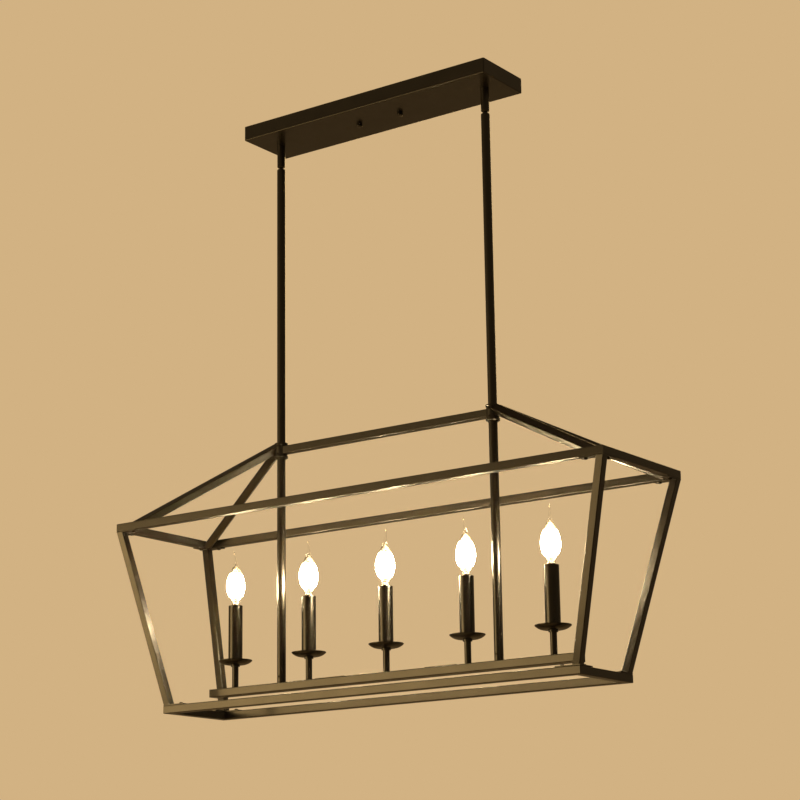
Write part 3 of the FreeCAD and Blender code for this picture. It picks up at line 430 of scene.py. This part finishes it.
def blackened_steel():
    material, tree, shader = new_material("blackened_steel", {"Metallic": 0.9})
    place = add_node(tree, "ShaderNodeTexCoord").outputs["Object"]
    wear = add_node(tree, "ShaderNodeTexNoise", {"Scale": 1 / BLACK_OXIDE_WEAR, "Detail": 4.0},
                    {"Vector": place})
    colour = add_node(tree, "ShaderNodeMix",
                      {"data_type": "RGBA", 6: linear(BLACK_OXIDE), 7: linear(BLACK_OXIDE_WORN)},
                      {0: wear.outputs["Fac"]})
    tree.links.new(colour.outputs[2], shader.inputs["Base Color"])
    smooth, rough = BLACK_OXIDE_ROUGHNESS
    sheen = add_node(tree, "ShaderNodeMapRange",
                     {"From Min": NOISE_LOW, "From Max": NOISE_HIGH, "To Min": smooth, "To Max": rough},
                     {"Value": wear.outputs["Fac"]})
    tree.links.new(sheen.outputs["Result"], shader.inputs["Roughness"])
    return material


blackened = blackened_steel()
TO_FRONT = Matrix.Rotation(math.pi / 2, 4, "X")
screws = []
for low, high in set_screw_boxes:
    length = (high.y - low.y) / MM
    end_radius = SET_SCREW_RADIUS - SET_SCREW_CHAMFER
    outline = [(0.0, 0.0), (end_radius, 0.0), (SET_SCREW_RADIUS, SET_SCREW_CHAMFER),
               (SET_SCREW_RADIUS, length - SET_SCREW_CHAMFER), (end_radius, length), (0.0, length)]
    screw = spun("set_screw", outline, SET_SCREW_STEPS)
    bpy.ops.object.select_all(action="DESELECT")
    bpy.ops.mesh.primitive_cylinder_add(vertices=6, radius=SET_SCREW_SOCKET * MM,
                                        depth=2 * SET_SCREW_SOCKET_DEPTH * MM, location=(0, 0, length * MM))
    cut(screw, bpy.context.object)
    inner_end = ((low.x + high.x) / 2, high.y, (low.z + high.z) / 2)
    screws.append(copied(screw, "set_screw", inner_end, TO_FRONT))
    bpy.data.objects.remove(screw)
put_on(joined("socket_set_screws", screws), blackened, "cage_group", "bronze_paint", "set_screws")

# The roof: a ridge bar between the hubs and four hip bars down to the corners. Half-inch square steel tube,
# painted, with its ends cut to lie against the hubs and the top frame.
CORNERS = ("front_left", "front_right", "back_left", "back_right")
finish_nodes(paint, "ridge_bar")
for corner in CORNERS:
    finish_nodes(paint, "hip_bar_" + corner)

# The two frames: four rails each, mitred and welded at the corners, with the four leaning legs between them.
# All are the same painted tube. Each leg has an L-shaped plate welded on at both ends.
for rail in ("front", "back", "left", "right"):
    finish_nodes(paint, "top_rail_" + rail, "bottom_rail_" + rail)
for corner in CORNERS:
    finish_nodes(paint, "leg_" + corner)

# The leg screws: sixteen blackened pan heads with a cross recess, two in each leg plate. They go up into the
# top frame and down into the bottom frame.
PAN_HEAD_HEIGHT = 2.3
PAN_HEAD_OUTLINE = [(0.0, PAN_HEAD_HEIGHT), (1.5, 2.25), (2.5, 1.95), (3.1, 1.45), (3.42, 0.8), (3.5, 0.25),
                    (3.42, 0.0), (2.0, 0.0), (2.0, -5.2), (1.4, -6.0), (0.0, -6.0)]
PAN_HEAD_STEPS = 48
CROSS_WIDTH = 0.8
CROSS_ARM = 1.35
CROSS_DEPTH = 1.4
CROSS_ABOVE = 0.5
CROSS_TAPER = 0.6
SCREW_TURN_STEP = math.radians(37)


def cross_recess(top):
    """Makes the tool that cuts a cross recess: a small block with four arms, narrower at its foot.

    Each arm grows from an outermost face. Where several lie equally far out, their order decides, and that
    changes from run to run, so an arm in Y may grow from the side of an arm in X.
    """
    bpy.ops.object.select_all(action="DESELECT")
    bpy.ops.mesh.primitive_cube_add(size=CROSS_WIDTH * MM)
    tool = bpy.context.object
    for vertex in tool.data.vertices:
        vertex.co.z = (top + CROSS_ABOVE) * MM if vertex.co.z > 0 else (top - CROSS_DEPTH) * MM
    bpy.ops.object.mode_set(mode="EDIT")
    bpy.ops.mesh.select_mode(type="FACE")
    for direction in (Vector((1, 0, 0)), Vector((-1, 0, 0)), Vector((0, 1, 0)), Vector((0, -1, 0))):
        bpy.ops.mesh.select_all(action="DESELECT")
        mesh = bmesh.from_edit_mesh(tool.data)
        outermost = max(mesh.faces, key=lambda face: face.calc_center_median().dot(direction))
        outermost.select_set(True)
        bmesh.update_edit_mesh(tool.data)
        bpy.ops.mesh.extrude_region_move(TRANSFORM_OT_translate={"value": direction * CROSS_ARM * MM})
    bpy.ops.object.mode_set(mode="OBJECT")
    for vertex in tool.data.vertices:
        if vertex.co.z < top * MM:
            vertex.co.x *= CROSS_TAPER
            vertex.co.y *= CROSS_TAPER
    return tool


pan_head = spun("pan_head", PAN_HEAD_OUTLINE, PAN_HEAD_STEPS)
cut(pan_head, cross_recess(PAN_HEAD_HEIGHT))
leg_low, leg_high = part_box("leg_front_left")
cage_middle = (leg_low.z + leg_high.z) / 2
screws = []
for number, (low, high) in enumerate(solid_boxes("leg_screws")):
    points_up = low.z > cage_middle
    seat = low.z + PAN_HEAD_HEIGHT * MM if points_up else high.z - PAN_HEAD_HEIGHT * MM
    turn = Matrix.Rotation(number * SCREW_TURN_STEP, 4, "Z")
    if points_up:
        turn = turn @ Matrix.Rotation(math.pi, 4, "X")
    screws.append(copied(pan_head, "pan_head", ((low.x + high.x) / 2, (low.y + high.y) / 2, seat), turn))
bpy.data.objects.remove(pan_head)
put_on(joined("pan_head_screws", screws), blackened, "cage_group", "bronze_paint", "leg_screws")

# The light bar: a flat rectangular tube, painted, with two thin covers over its wiring slots and a plug cap
# in each end. The candles and both lower stems stand on it.
finish_nodes(paint, "light_bar", "access_covers", "bar_end_caps")

# The five candles: a thin tube with a turned collar, a spun drip dish, and a steel sleeve over the socket.
# They are painted like the cage, and a lock nut inside the light bar holds each one.
finish_nodes(paint, "candle_tubes", "drip_dishes", "candle_sleeves")

# The sockets inside the sleeves: brown-black phenolic, which is hard, glossy where the mould was polished and
# slightly cloudy, with a liner of rolled brass for the lamp's thread.
PHENOLIC = "#211A16"
PHENOLIC_PALE = "#2C231D"
PHENOLIC_CLOUD = 4 * MM
BRASS = "#C7A04C"
BRASS_DULL = "#A8843C"
BRASS_TARNISH = 3 * MM


def moulded_phenolic():
    material, tree, shader = new_material("moulded_phenolic", {"Roughness": 0.33, "IOR": 1.6})
    place = add_node(tree, "ShaderNodeTexCoord").outputs["Object"]
    cloud = add_node(tree, "ShaderNodeTexNoise", {"Scale": 1 / PHENOLIC_CLOUD, "Detail": 3.0},
                     {"Vector": place})
    colour = add_node(tree, "ShaderNodeMix",
                      {"data_type": "RGBA", 6: linear(PHENOLIC), 7: linear(PHENOLIC_PALE)},
                      {0: cloud.outputs["Fac"]})
    tree.links.new(colour.outputs[2], shader.inputs["Base Color"])
    return material


def rolled_brass():
    material, tree, shader = new_material("rolled_brass", {"Metallic": 1.0, "Roughness": 0.28})
    place = add_node(tree, "ShaderNodeTexCoord").outputs["Object"]
    tarnish = add_node(tree, "ShaderNodeTexNoise", {"Scale": 1 / BRASS_TARNISH, "Detail": 3.0},
                       {"Vector": place})
    colour = add_node(tree, "ShaderNodeMix", {"data_type": "RGBA", 6: linear(BRASS), 7: linear(BRASS_DULL)},
                      {0: tarnish.outputs["Fac"]})
    tree.links.new(colour.outputs[2], shader.inputs["Base Color"])
    return material


finish_nodes(moulded_phenolic(), "lamp_sockets")
finish_nodes(rolled_brass(), "socket_shells")

# The lamps' screw bases: a shell of nickel-plated brass with a rolled thread, a ring of black glass that
# insulates it, and a soft solder contact at the foot. Heights are measured down from the glass.
THREAD_RADIUS = 5.6
THREAD_LEAST_RADIUS = 5.0
THREAD_TOP = -3.2
THREAD_FOOT = -17.8
THREAD_PITCH = 2.54
THREAD_DEPTH = 0.3
THREAD_STEP = 0.3
THREAD_SMOOTH_ANGLE = math.radians(60)
SHELL_OUTLINE_TOP = [(5.0, 0.0), (5.55, 0.0), (5.85, -0.35), (5.9, -0.8), (5.9, -2.6),
                     (THREAD_RADIUS, THREAD_TOP)]
SHELL_OUTLINE_FOOT = [(THREAD_RADIUS, THREAD_FOOT), (5.5, -18.6), (5.0, -19.4), (4.4, -19.7), (0.0, -19.7),
                      (0.0, -18.9), (4.2, -18.9)]
INSULATOR_OUTLINE = [(4.5, -19.6), (4.3, -20.1), (3.2, -21.0), (2.5, -21.5), (0.0, -21.5), (0.0, -19.6)]
CONTACT_OUTLINE = [(2.4, -21.4), (2.4, -21.9), (2.1, -22.7), (1.4, -23.2), (0.0, -23.35), (0.0, -21.4)]
LAMP_BASE_STEPS = 48
CONTACT_STEPS = 32
NICKEL = "#BDB5A6"
NICKEL_DULL = "#9E9688"
NICKEL_FILM = 2 * MM
NICKEL_ROUGHNESS = (0.16, 0.3)
BLACK_GLASS = "#0B0A0C"
BLACK_GLASS_SWIRL = 3 * MM
SOLDER = "#9A9A98"
SOLDER_RIPPLE = 0.8 * MM
SOLDER_RIPPLE_HEIGHT = 0.05 * MM


def nickel_plate():
    material, tree, shader = new_material("nickel_plate", {"Metallic": 1.0})
    place = add_node(tree, "ShaderNodeTexCoord").outputs["Object"]
    film = add_node(tree, "ShaderNodeTexNoise", {"Scale": 1 / NICKEL_FILM, "Detail": 3.0}, {"Vector": place})
    colour = add_node(tree, "ShaderNodeMix", {"data_type": "RGBA", 6: linear(NICKEL), 7: linear(NICKEL_DULL)},
                      {0: film.outputs["Fac"]})
    tree.links.new(colour.outputs[2], shader.inputs["Base Color"])
    smooth, rough = NICKEL_ROUGHNESS
    sheen = add_node(tree, "ShaderNodeMapRange",
                     {"From Min": NOISE_LOW, "From Max": NOISE_HIGH, "To Min": smooth, "To Max": rough},
                     {"Value": film.outputs["Fac"]})
    tree.links.new(sheen.outputs["Result"], shader.inputs["Roughness"])
    return material


def black_glass():
    material, tree, shader = new_material("black_glass", {"Roughness": 0.12, "IOR": 1.52})
    place = add_node(tree, "ShaderNodeTexCoord").outputs["Object"]
    swirl = add_node(tree, "ShaderNodeTexNoise", {"Scale": 1 / BLACK_GLASS_SWIRL, "Detail": 2.0},
                     {"Vector": place})
    colour = add_node(tree, "ShaderNodeMix",
                      {"data_type": "RGBA", 6: linear(BLACK_GLASS), 7: linear(PHENOLIC)},
                      {0: swirl.outputs["Fac"]})
    tree.links.new(colour.outputs[2], shader.inputs["Base Color"])
    return material


def soft_solder():
    material, tree, shader = new_material("soft_solder", {
        "Base Color": linear(SOLDER), "Metallic": 1.0, "Roughness": 0.4})
    place = add_node(tree, "ShaderNodeTexCoord").outputs["Object"]
    ripple = add_node(tree, "ShaderNodeTexNoise", {"Scale": 1 / SOLDER_RIPPLE, "Detail": 2.0},
                      {"Vector": place})
    bump = add_node(tree, "ShaderNodeBump", {"Strength": 0.6, "Distance": SOLDER_RIPPLE_HEIGHT},
                    {"Height": ripple.outputs["Fac"]})
    tree.links.new(bump.outputs["Normal"], shader.inputs["Normal"])
    return material


thread_steps = round((THREAD_TOP - THREAD_FOOT) / THREAD_STEP)
thread = [(THREAD_RADIUS, THREAD_TOP - THREAD_STEP * i) for i in range(1, thread_steps)]
shell = spun("screw_shell", SHELL_OUTLINE_TOP + thread + SHELL_OUTLINE_FOOT, LAMP_BASE_STEPS)
for vertex in shell.data.vertices:
    height = vertex.co.z / MM
    radius = math.hypot(vertex.co.x, vertex.co.y)
    if THREAD_FOOT < height < THREAD_TOP and radius > THREAD_LEAST_RADIUS * MM:
        fade = min(1.0, (THREAD_TOP - height) / THREAD_PITCH, (height - THREAD_FOOT) / THREAD_PITCH)
        wave = math.cos(math.tau * height / THREAD_PITCH - math.atan2(vertex.co.y, vertex.co.x))
        swell = 1 + fade * THREAD_DEPTH * wave * MM / radius
        vertex.co = (vertex.co.x * swell, vertex.co.y * swell, vertex.co.z)
bpy.ops.object.select_all(action="DESELECT")
shell.select_set(True)
bpy.ops.object.shade_smooth_by_angle(angle=THREAD_SMOOTH_ANGLE)
insulator = spun("insulator", INSULATOR_OUTLINE, LAMP_BASE_STEPS)
contact = spun("contact", CONTACT_OUTLINE, CONTACT_STEPS)

# The lamps' glass: a thin clear envelope blown to the shape of a flame, its tip drawn out, bent a little and
# sealed with a bead, and inside it a glass stem that holds the wires. The envelope glows where the filaments
# light it, and its neck and tip stay clear. Heights are measured up from the foot of the glass.
ENVELOPE_OUTSIDE = [(5.3, -0.6), (5.9, 0.3), (6.1, 2.2), (6.5, 4.8), (8.6, 8.8), (11.3, 14.0), (13.9, 20.5),
                    (15.1, 28.5), (14.3, 37.5), (11.9, 45.5), (8.9, 52.0), (5.8, 58.0), (3.6, 63.0),
                    (2.3, 68.0), (1.6, 74.0), (1.15, 80.0), (0.95, 84.0), (1.25, 85.4), (1.2, 86.6),
                    (0.6, 87.3), (0.0, 87.4)]
ENVELOPE_WALL = 0.7
ENVELOPE_LEAST_BORE = 0.6
ENVELOPE_WALL_ENDS = 63.0
ENVELOPE_CAVITY_TOP = 66.0
TIP_BEND_FROM = 60.0
TIP_BEND = (3.4, 1.6, 2.4, 3.0, 0.8)
TIP_BEND_CURVE = 1.6
TIP_BEARING = (197, 150, 20, 214, 305)
STEM_OUTLINE = [(4.9, -0.4), (4.7, 0.6), (3.2, 2.6), (2.2, 5.5), (1.7, 10.0), (1.5, 13.0), (0.9, 14.2),
                (0.0, 14.4), (0.0, -0.4)]
GLASS_STEPS = 32
DRAW_MARKS = 14 * MM
DRAW_MARK_HEIGHT = 0.1 * MM
GLOW = "#FFE2B0"
GLOW_STRENGTH = 160.0
# The glow rises to its full strength between the first two of these heights, and falls between the last two.
GLOW_FROM = 11.0
GLOW_FULL_FROM = 20.0
GLOW_FULL_TO = 29.0
GLOW_TO = 51.5
glass_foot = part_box("lamp_bulb_1")[0].z


def clear_blown_glass(lit):
    """Clear soda glass. On a lit lamp it glows over the height of the filaments."""
    material, tree, shader = new_material("lit_blown_glass" if lit else "clear_drawn_glass", {
        "Base Color": (1.0, 1.0, 1.0, 1.0), "Roughness": 0.02, "IOR": 1.5, "Transmission Weight": 1.0})
    place = add_node(tree, "ShaderNodeTexCoord").outputs["Object"]
    marks = add_node(tree, "ShaderNodeTexNoise", {"Scale": 1 / DRAW_MARKS, "Detail": 1.0}, {"Vector": place})
    bump = add_node(tree, "ShaderNodeBump", {"Strength": 0.4, "Distance": DRAW_MARK_HEIGHT},
                    {"Height": marks.outputs["Fac"]})
    tree.links.new(bump.outputs["Normal"], shader.inputs["Normal"])
    if lit:
        shader.inputs["Emission Color"].default_value = linear(GLOW)
        height = add_node(tree, "ShaderNodeSeparateXYZ", {}, {"Vector": place}).outputs["Z"]
        rising = add_node(tree, "ShaderNodeMapRange",
                          {"interpolation_type": "SMOOTHSTEP", "From Min": glass_foot + GLOW_FROM * MM,
                           "From Max": glass_foot + GLOW_FULL_FROM * MM,
                           "To Min": 0.0, "To Max": GLOW_STRENGTH}, {"Value": height})
        falling = add_node(tree, "ShaderNodeMapRange",
                           {"interpolation_type": "SMOOTHSTEP", "From Min": glass_foot + GLOW_FULL_TO * MM,
                            "From Max": glass_foot + GLOW_TO * MM,
                            "To Min": 1.0, "To Max": 0.0}, {"Value": height})
        strength = add_node(tree, "ShaderNodeMath", {"operation": "MULTIPLY"},
                            {0: rising.outputs["Result"], 1: falling.outputs["Result"]})
        tree.links.new(strength.outputs["Value"], shader.inputs["Emission Strength"])
    return material


def blown(name, outline, levels):
    """Spins a piece of glass and rounds it off, as blowing and melting do."""
    piece = spun(name, outline, GLASS_STEPS)
    smoother = piece.modifiers.new("smoother", "SUBSURF")
    smoother.levels = smoother.render_levels = levels
    bpy.ops.object.modifier_apply(modifier=smoother.name)
    bpy.ops.object.shade_smooth()
    return piece


inside = [(max(radius - ENVELOPE_WALL, ENVELOPE_LEAST_BORE), height)
          for radius, height in ENVELOPE_OUTSIDE[1:] if height < ENVELOPE_WALL_ENDS]
envelope = blown("envelope", ENVELOPE_OUTSIDE + [(0.0, ENVELOPE_CAVITY_TOP)] + inside[::-1], 2)
glass_stem = blown("glass_stem", STEM_OUTLINE, 1)

# The lamps' light: four slender filaments, each a row of tiny chips under yellow phosphor resin. They stand
# in a ring and lean outwards a little, on bright plated wires from the glass stem.
FILAMENT_LENGTH = 30.0
FILAMENT_OUTLINE = [(0.0, 0.0), (0.45, 0.1), (0.62, 0.5), (0.62, 29.5), (0.45, 29.9), (0.0, FILAMENT_LENGTH)]
FILAMENT_STEPS = 16
FILAMENT_RING = 4.2
FILAMENT_LOW = 15.5
FILAMENT_LEAN = math.radians(4)
SUPPORT_RADIUS = 0.22
SUPPORT_STEPS = 12
SUPPORT_ROUNDING = 0.5
SUPPORT_FOOT = (0.3, 0, 13.0)
SUPPORT_RISE = 1.6
MIDDLE_SUPPORT_FOOT = (0, 0, 13.5)
MIDDLE_SUPPORT_RISE = 1.8
PHOSPHOR = "#F2C35A"
PHOSPHOR_CHIPS = 0.8 * MM
PHOSPHOR_GLOW = 8.0


def phosphor_resin():
    material, tree, shader = new_material("phosphor_resin", {
        "Roughness": 0.5, "Emission Color": linear(GLOW), "Emission Strength": PHOSPHOR_GLOW})
    place = add_node(tree, "ShaderNodeTexCoord").outputs["Object"]
    chips = add_node(tree, "ShaderNodeTexNoise", {"Scale": 1 / PHOSPHOR_CHIPS, "Detail": 1.0},
                     {"Vector": place})
    colour = add_node(tree, "ShaderNodeMix", {"data_type": "RGBA", 6: linear(PHOSPHOR), 7: linear(BRASS)},
                      {0: chips.outputs["Fac"]})
    tree.links.new(colour.outputs[2], shader.inputs["Base Color"])
    return material


def wire_between(start, end, radius):
    """Adds a thin straight wire with rounded ends between two points in millimetres."""
    start, end = Vector(start) * MM, Vector(end) * MM
    bpy.ops.object.select_all(action="DESELECT")
    bpy.ops.mesh.primitive_cylinder_add(vertices=SUPPORT_STEPS, radius=radius * MM,
                                        depth=(end - start).length)
    wire = bpy.context.object
    bpy.ops.object.mode_set(mode="EDIT")
    bpy.ops.mesh.select_all(action="SELECT")
    bpy.ops.mesh.bevel(offset=radius * SUPPORT_ROUNDING * MM, segments=2, affect="EDGES")
    bpy.ops.object.mode_set(mode="OBJECT")
    bpy.ops.object.shade_smooth_by_angle(angle=SMOOTH_ANGLE)
    turn = Vector((0, 0, 1)).rotation_difference(end - start).to_matrix().to_4x4()
    wire.data.transform(Matrix.Translation((start + end) / 2) @ turn)
    return wire


filament = spun("filament", FILAMENT_OUTLINE, FILAMENT_STEPS)
filaments, supports = [], []
for quarter in range(4):
    around = Matrix.Rotation(math.radians(45 + 90 * quarter), 4, "Z")
    lean = Matrix.Rotation(FILAMENT_LEAN, 4, "Y")
    foot = Vector((FILAMENT_RING, 0, FILAMENT_LOW))
    filaments.append(copied(filament, "filament", around @ (foot * MM), around @ lean))
    head = foot + lean @ Vector((0, 0, FILAMENT_LENGTH))
    middle = Vector((0, 0, head.z + SUPPORT_RISE))
    supports.append(wire_between(around @ Vector(SUPPORT_FOOT), around @ foot, SUPPORT_RADIUS))
    supports.append(wire_between(around @ head, around @ middle, SUPPORT_RADIUS))
bpy.data.objects.remove(filament)
supports.append(wire_between(MIDDLE_SUPPORT_FOOT, (0, 0, head.z + MIDDLE_SUPPORT_RISE), SUPPORT_RADIUS))
filaments = joined("filaments", filaments)
supports = joined("supports", supports)

# The five lamps: each is a set of the pieces above, cemented together and screwed into its socket. They are
# alike but for the tips of their envelopes, which were drawn by hand and bend each its own way.
lamp_pieces = [(shell, nickel_plate(), "lamp_base_nickel"),
               (insulator, black_glass(), "lamp_base_nickel"),
               (contact, soft_solder(), "lamp_base_nickel"),
               (glass_stem, clear_blown_glass(False), "clear_glass"),
               (filaments, phosphor_resin(), "lamp_base_nickel"),
               (supports, zinc, "lamp_base_nickel")]
lit_glass = clear_blown_glass(True)
envelope_height = ENVELOPE_OUTSIDE[-1][1]
for number, (bend, bearing) in enumerate(zip(TIP_BEND, TIP_BEARING), 1):
    low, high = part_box(f"lamp_bulb_{number}")
    place = Vector(((low.x + high.x) / 2, 0, glass_foot))
    for piece, material, slot in lamp_pieces:
        lamp_piece = copied(piece, f"lamp_{number}_{piece.name}", place)
        put_on(lamp_piece, material, f"lamp_{number}", slot, f"lamp_base_{number}")
    bulb = copied(envelope, f"lamp_{number}_envelope", place)
    heading = Vector((math.cos(math.radians(bearing)), math.sin(math.radians(bearing)), 0))
    for vertex in bulb.data.vertices:
        share = ((vertex.co.z - glass_foot) / MM - TIP_BEND_FROM) / (envelope_height - TIP_BEND_FROM)
        if share > 0:
            vertex.co += heading * bend * share ** TIP_BEND_CURVE * MM
    put_on(bulb, lit_glass, f"lamp_{number}", "clear_glass", f"lamp_bulb_{number}")
for piece in [envelope] + [piece for piece, _, _ in lamp_pieces]:
    bpy.data.objects.remove(piece)

# The studio: a wide pale floor well below the pendant, a plain pale surround and two warm softboxes. The
# camera stands below the pendant and to its right, and looks up at it at the photograph's viewing angle.
FLOOR_LEVEL = -2.7
FLOOR_SIZE = 60.0
FLOOR_COLOUR = "#F0DCB2"
FLOOR_FADE = (1.5, 8.0)
FLOOR_SHARE = 0.72
SURROUND_COLOUR = "#D2B283"
SURROUND_LIGHT = "#FFCE84"
SURROUND_STRENGTH = 0.08
MIRRORED_SHARE = 0.15
SOFTBOX_COLOUR = "#FFD48C"
FRONT_SOFTBOX_PLACE = (-2.2, -2.7, -0.7)
FRONT_SOFTBOX_SIZE = (2.1, 1.1)
FRONT_SOFTBOX_POWER = 42
BACK_SOFTBOX_PLACE = (-1.2, 2.8, 0.6)
BACK_SOFTBOX_SIZE = (1.4, 1.4)
BACK_SOFTBOX_POWER = 30
CAMERA_PLACE = (1.9204, -2.6405, -1.3200)
CAMERA_HEADING = 0.6207
CAMERA_PITCH = 0.2472
CAMERA_ROLL = -0.0144
CAMERA_LENS = 96.8
CAMERA_REACH = 200
SENSOR_WIDTH = 36.0


def seen_share(tree):
    """Gives 1 to what is seen straight or through glass, less to what gloss mirrors, and 0 to other light."""
    path = add_node(tree, "ShaderNodeLightPath")
    seen = add_node(tree, "ShaderNodeMath", {"operation": "MAXIMUM"},
                    {0: path.outputs["Is Camera Ray"], 1: path.outputs["Is Transmission Ray"]})
    mirrored = add_node(tree, "ShaderNodeMath", {"operation": "MULTIPLY", 1: MIRRORED_SHARE},
                        {0: path.outputs["Is Glossy Ray"]})
    return add_node(tree, "ShaderNodeMath", {"operation": "MAXIMUM"},
                    {0: seen.outputs["Value"], 1: mirrored.outputs["Value"]}).outputs["Value"]


def pale_floor():
    """Matt paint, seen mixed with the surround's own colour: a share of it near by, and all of it far out."""
    material, tree, shader = new_material("pale_floor", {
        "Base Color": linear(FLOOR_COLOUR), "Roughness": 0.9})
    place = add_node(tree, "ShaderNodeTexCoord").outputs["Object"]
    distance = add_node(tree, "ShaderNodeVectorMath", {"operation": "LENGTH"}, {0: place}).outputs["Value"]
    near, far = FLOOR_FADE
    fade = add_node(tree, "ShaderNodeMapRange",
                    {"interpolation_type": "SMOOTHSTEP", "From Min": near, "From Max": far,
                     "To Min": FLOOR_SHARE}, {"Value": distance})
    share = add_node(tree, "ShaderNodeMath", {"operation": "MULTIPLY"},
                     {0: fade.outputs["Result"], 1: seen_share(tree)})
    surround = add_node(tree, "ShaderNodeEmission", {"Color": linear(SURROUND_COLOUR)})
    mix = add_node(tree, "ShaderNodeMixShader", {}, {0: share.outputs["Value"], 1: shader.outputs["BSDF"],
                                                     2: surround.outputs["Emission"]})
    tree.links.new(mix.outputs["Shader"], tree.nodes["Material Output"].inputs["Surface"])
    return material


def softbox(name, place, target, size, power):
    """Adds a large soft lamp of a given width and height, facing the target."""
    light = bpy.data.lights.new(name, "AREA")
    light.shape = "RECTANGLE"
    light.size, light.size_y = size
    light.energy = power
    light.color = linear(SOFTBOX_COLOUR)[:3]
    lamp = bpy.data.objects.new(name, light)
    lamp.location = place
    lamp.rotation_euler = (Vector(target) - Vector(place)).to_track_quat("-Z", "Y").to_euler()
    bpy.context.scene.collection.objects.link(lamp)


bpy.ops.object.select_all(action="DESELECT")
bpy.ops.mesh.primitive_plane_add(size=FLOOR_SIZE, location=(0, 0, FLOOR_LEVEL))
floor = bpy.context.object
floor.name = "floor"
floor.data.transform(floor.matrix_world)
floor.matrix_world = Matrix.Identity(4)
floor.data.materials.append(pale_floor())

world = bpy.data.worlds.new("surround")
bpy.context.scene.world = world
world.use_nodes = True
tree = world.node_tree
seen = add_node(tree, "ShaderNodeBackground", {"Color": linear(SURROUND_COLOUR), "Strength": 1.0})
unseen = tree.nodes["Background"]
unseen.inputs["Color"].default_value = linear(SURROUND_LIGHT)
unseen.inputs["Strength"].default_value = SURROUND_STRENGTH
mix = add_node(tree, "ShaderNodeMixShader", {},
               {0: seen_share(tree), 1: unseen.outputs["Background"], 2: seen.outputs["Background"]})
tree.links.new(mix.outputs["Shader"], tree.nodes["World Output"].inputs["Surface"])

cage_centre = (0, 0, cage_middle)
softbox("front_softbox", FRONT_SOFTBOX_PLACE, cage_centre, FRONT_SOFTBOX_SIZE, FRONT_SOFTBOX_POWER)
softbox("back_softbox", BACK_SOFTBOX_PLACE, cage_centre, BACK_SOFTBOX_SIZE, BACK_SOFTBOX_POWER)

camera = bpy.data.objects.new("camera", bpy.data.cameras.new("camera"))
bpy.context.scene.collection.objects.link(camera)
camera.location = CAMERA_PLACE
camera.rotation_mode = "XYZ"
camera.data.lens = CAMERA_LENS
camera.data.sensor_width = SENSOR_WIDTH
camera.data.clip_end = CAMERA_REACH
turn = (Matrix.Rotation(CAMERA_HEADING, 4, "Z") @ Matrix.Rotation(math.pi / 2 + CAMERA_PITCH, 4, "X")
        @ Matrix.Rotation(CAMERA_ROLL, 4, "Z"))
camera.rotation_euler = turn.to_euler()
bpy.context.scene.camera = camera
bpy.context.scene.view_settings.view_transform = "Standard"
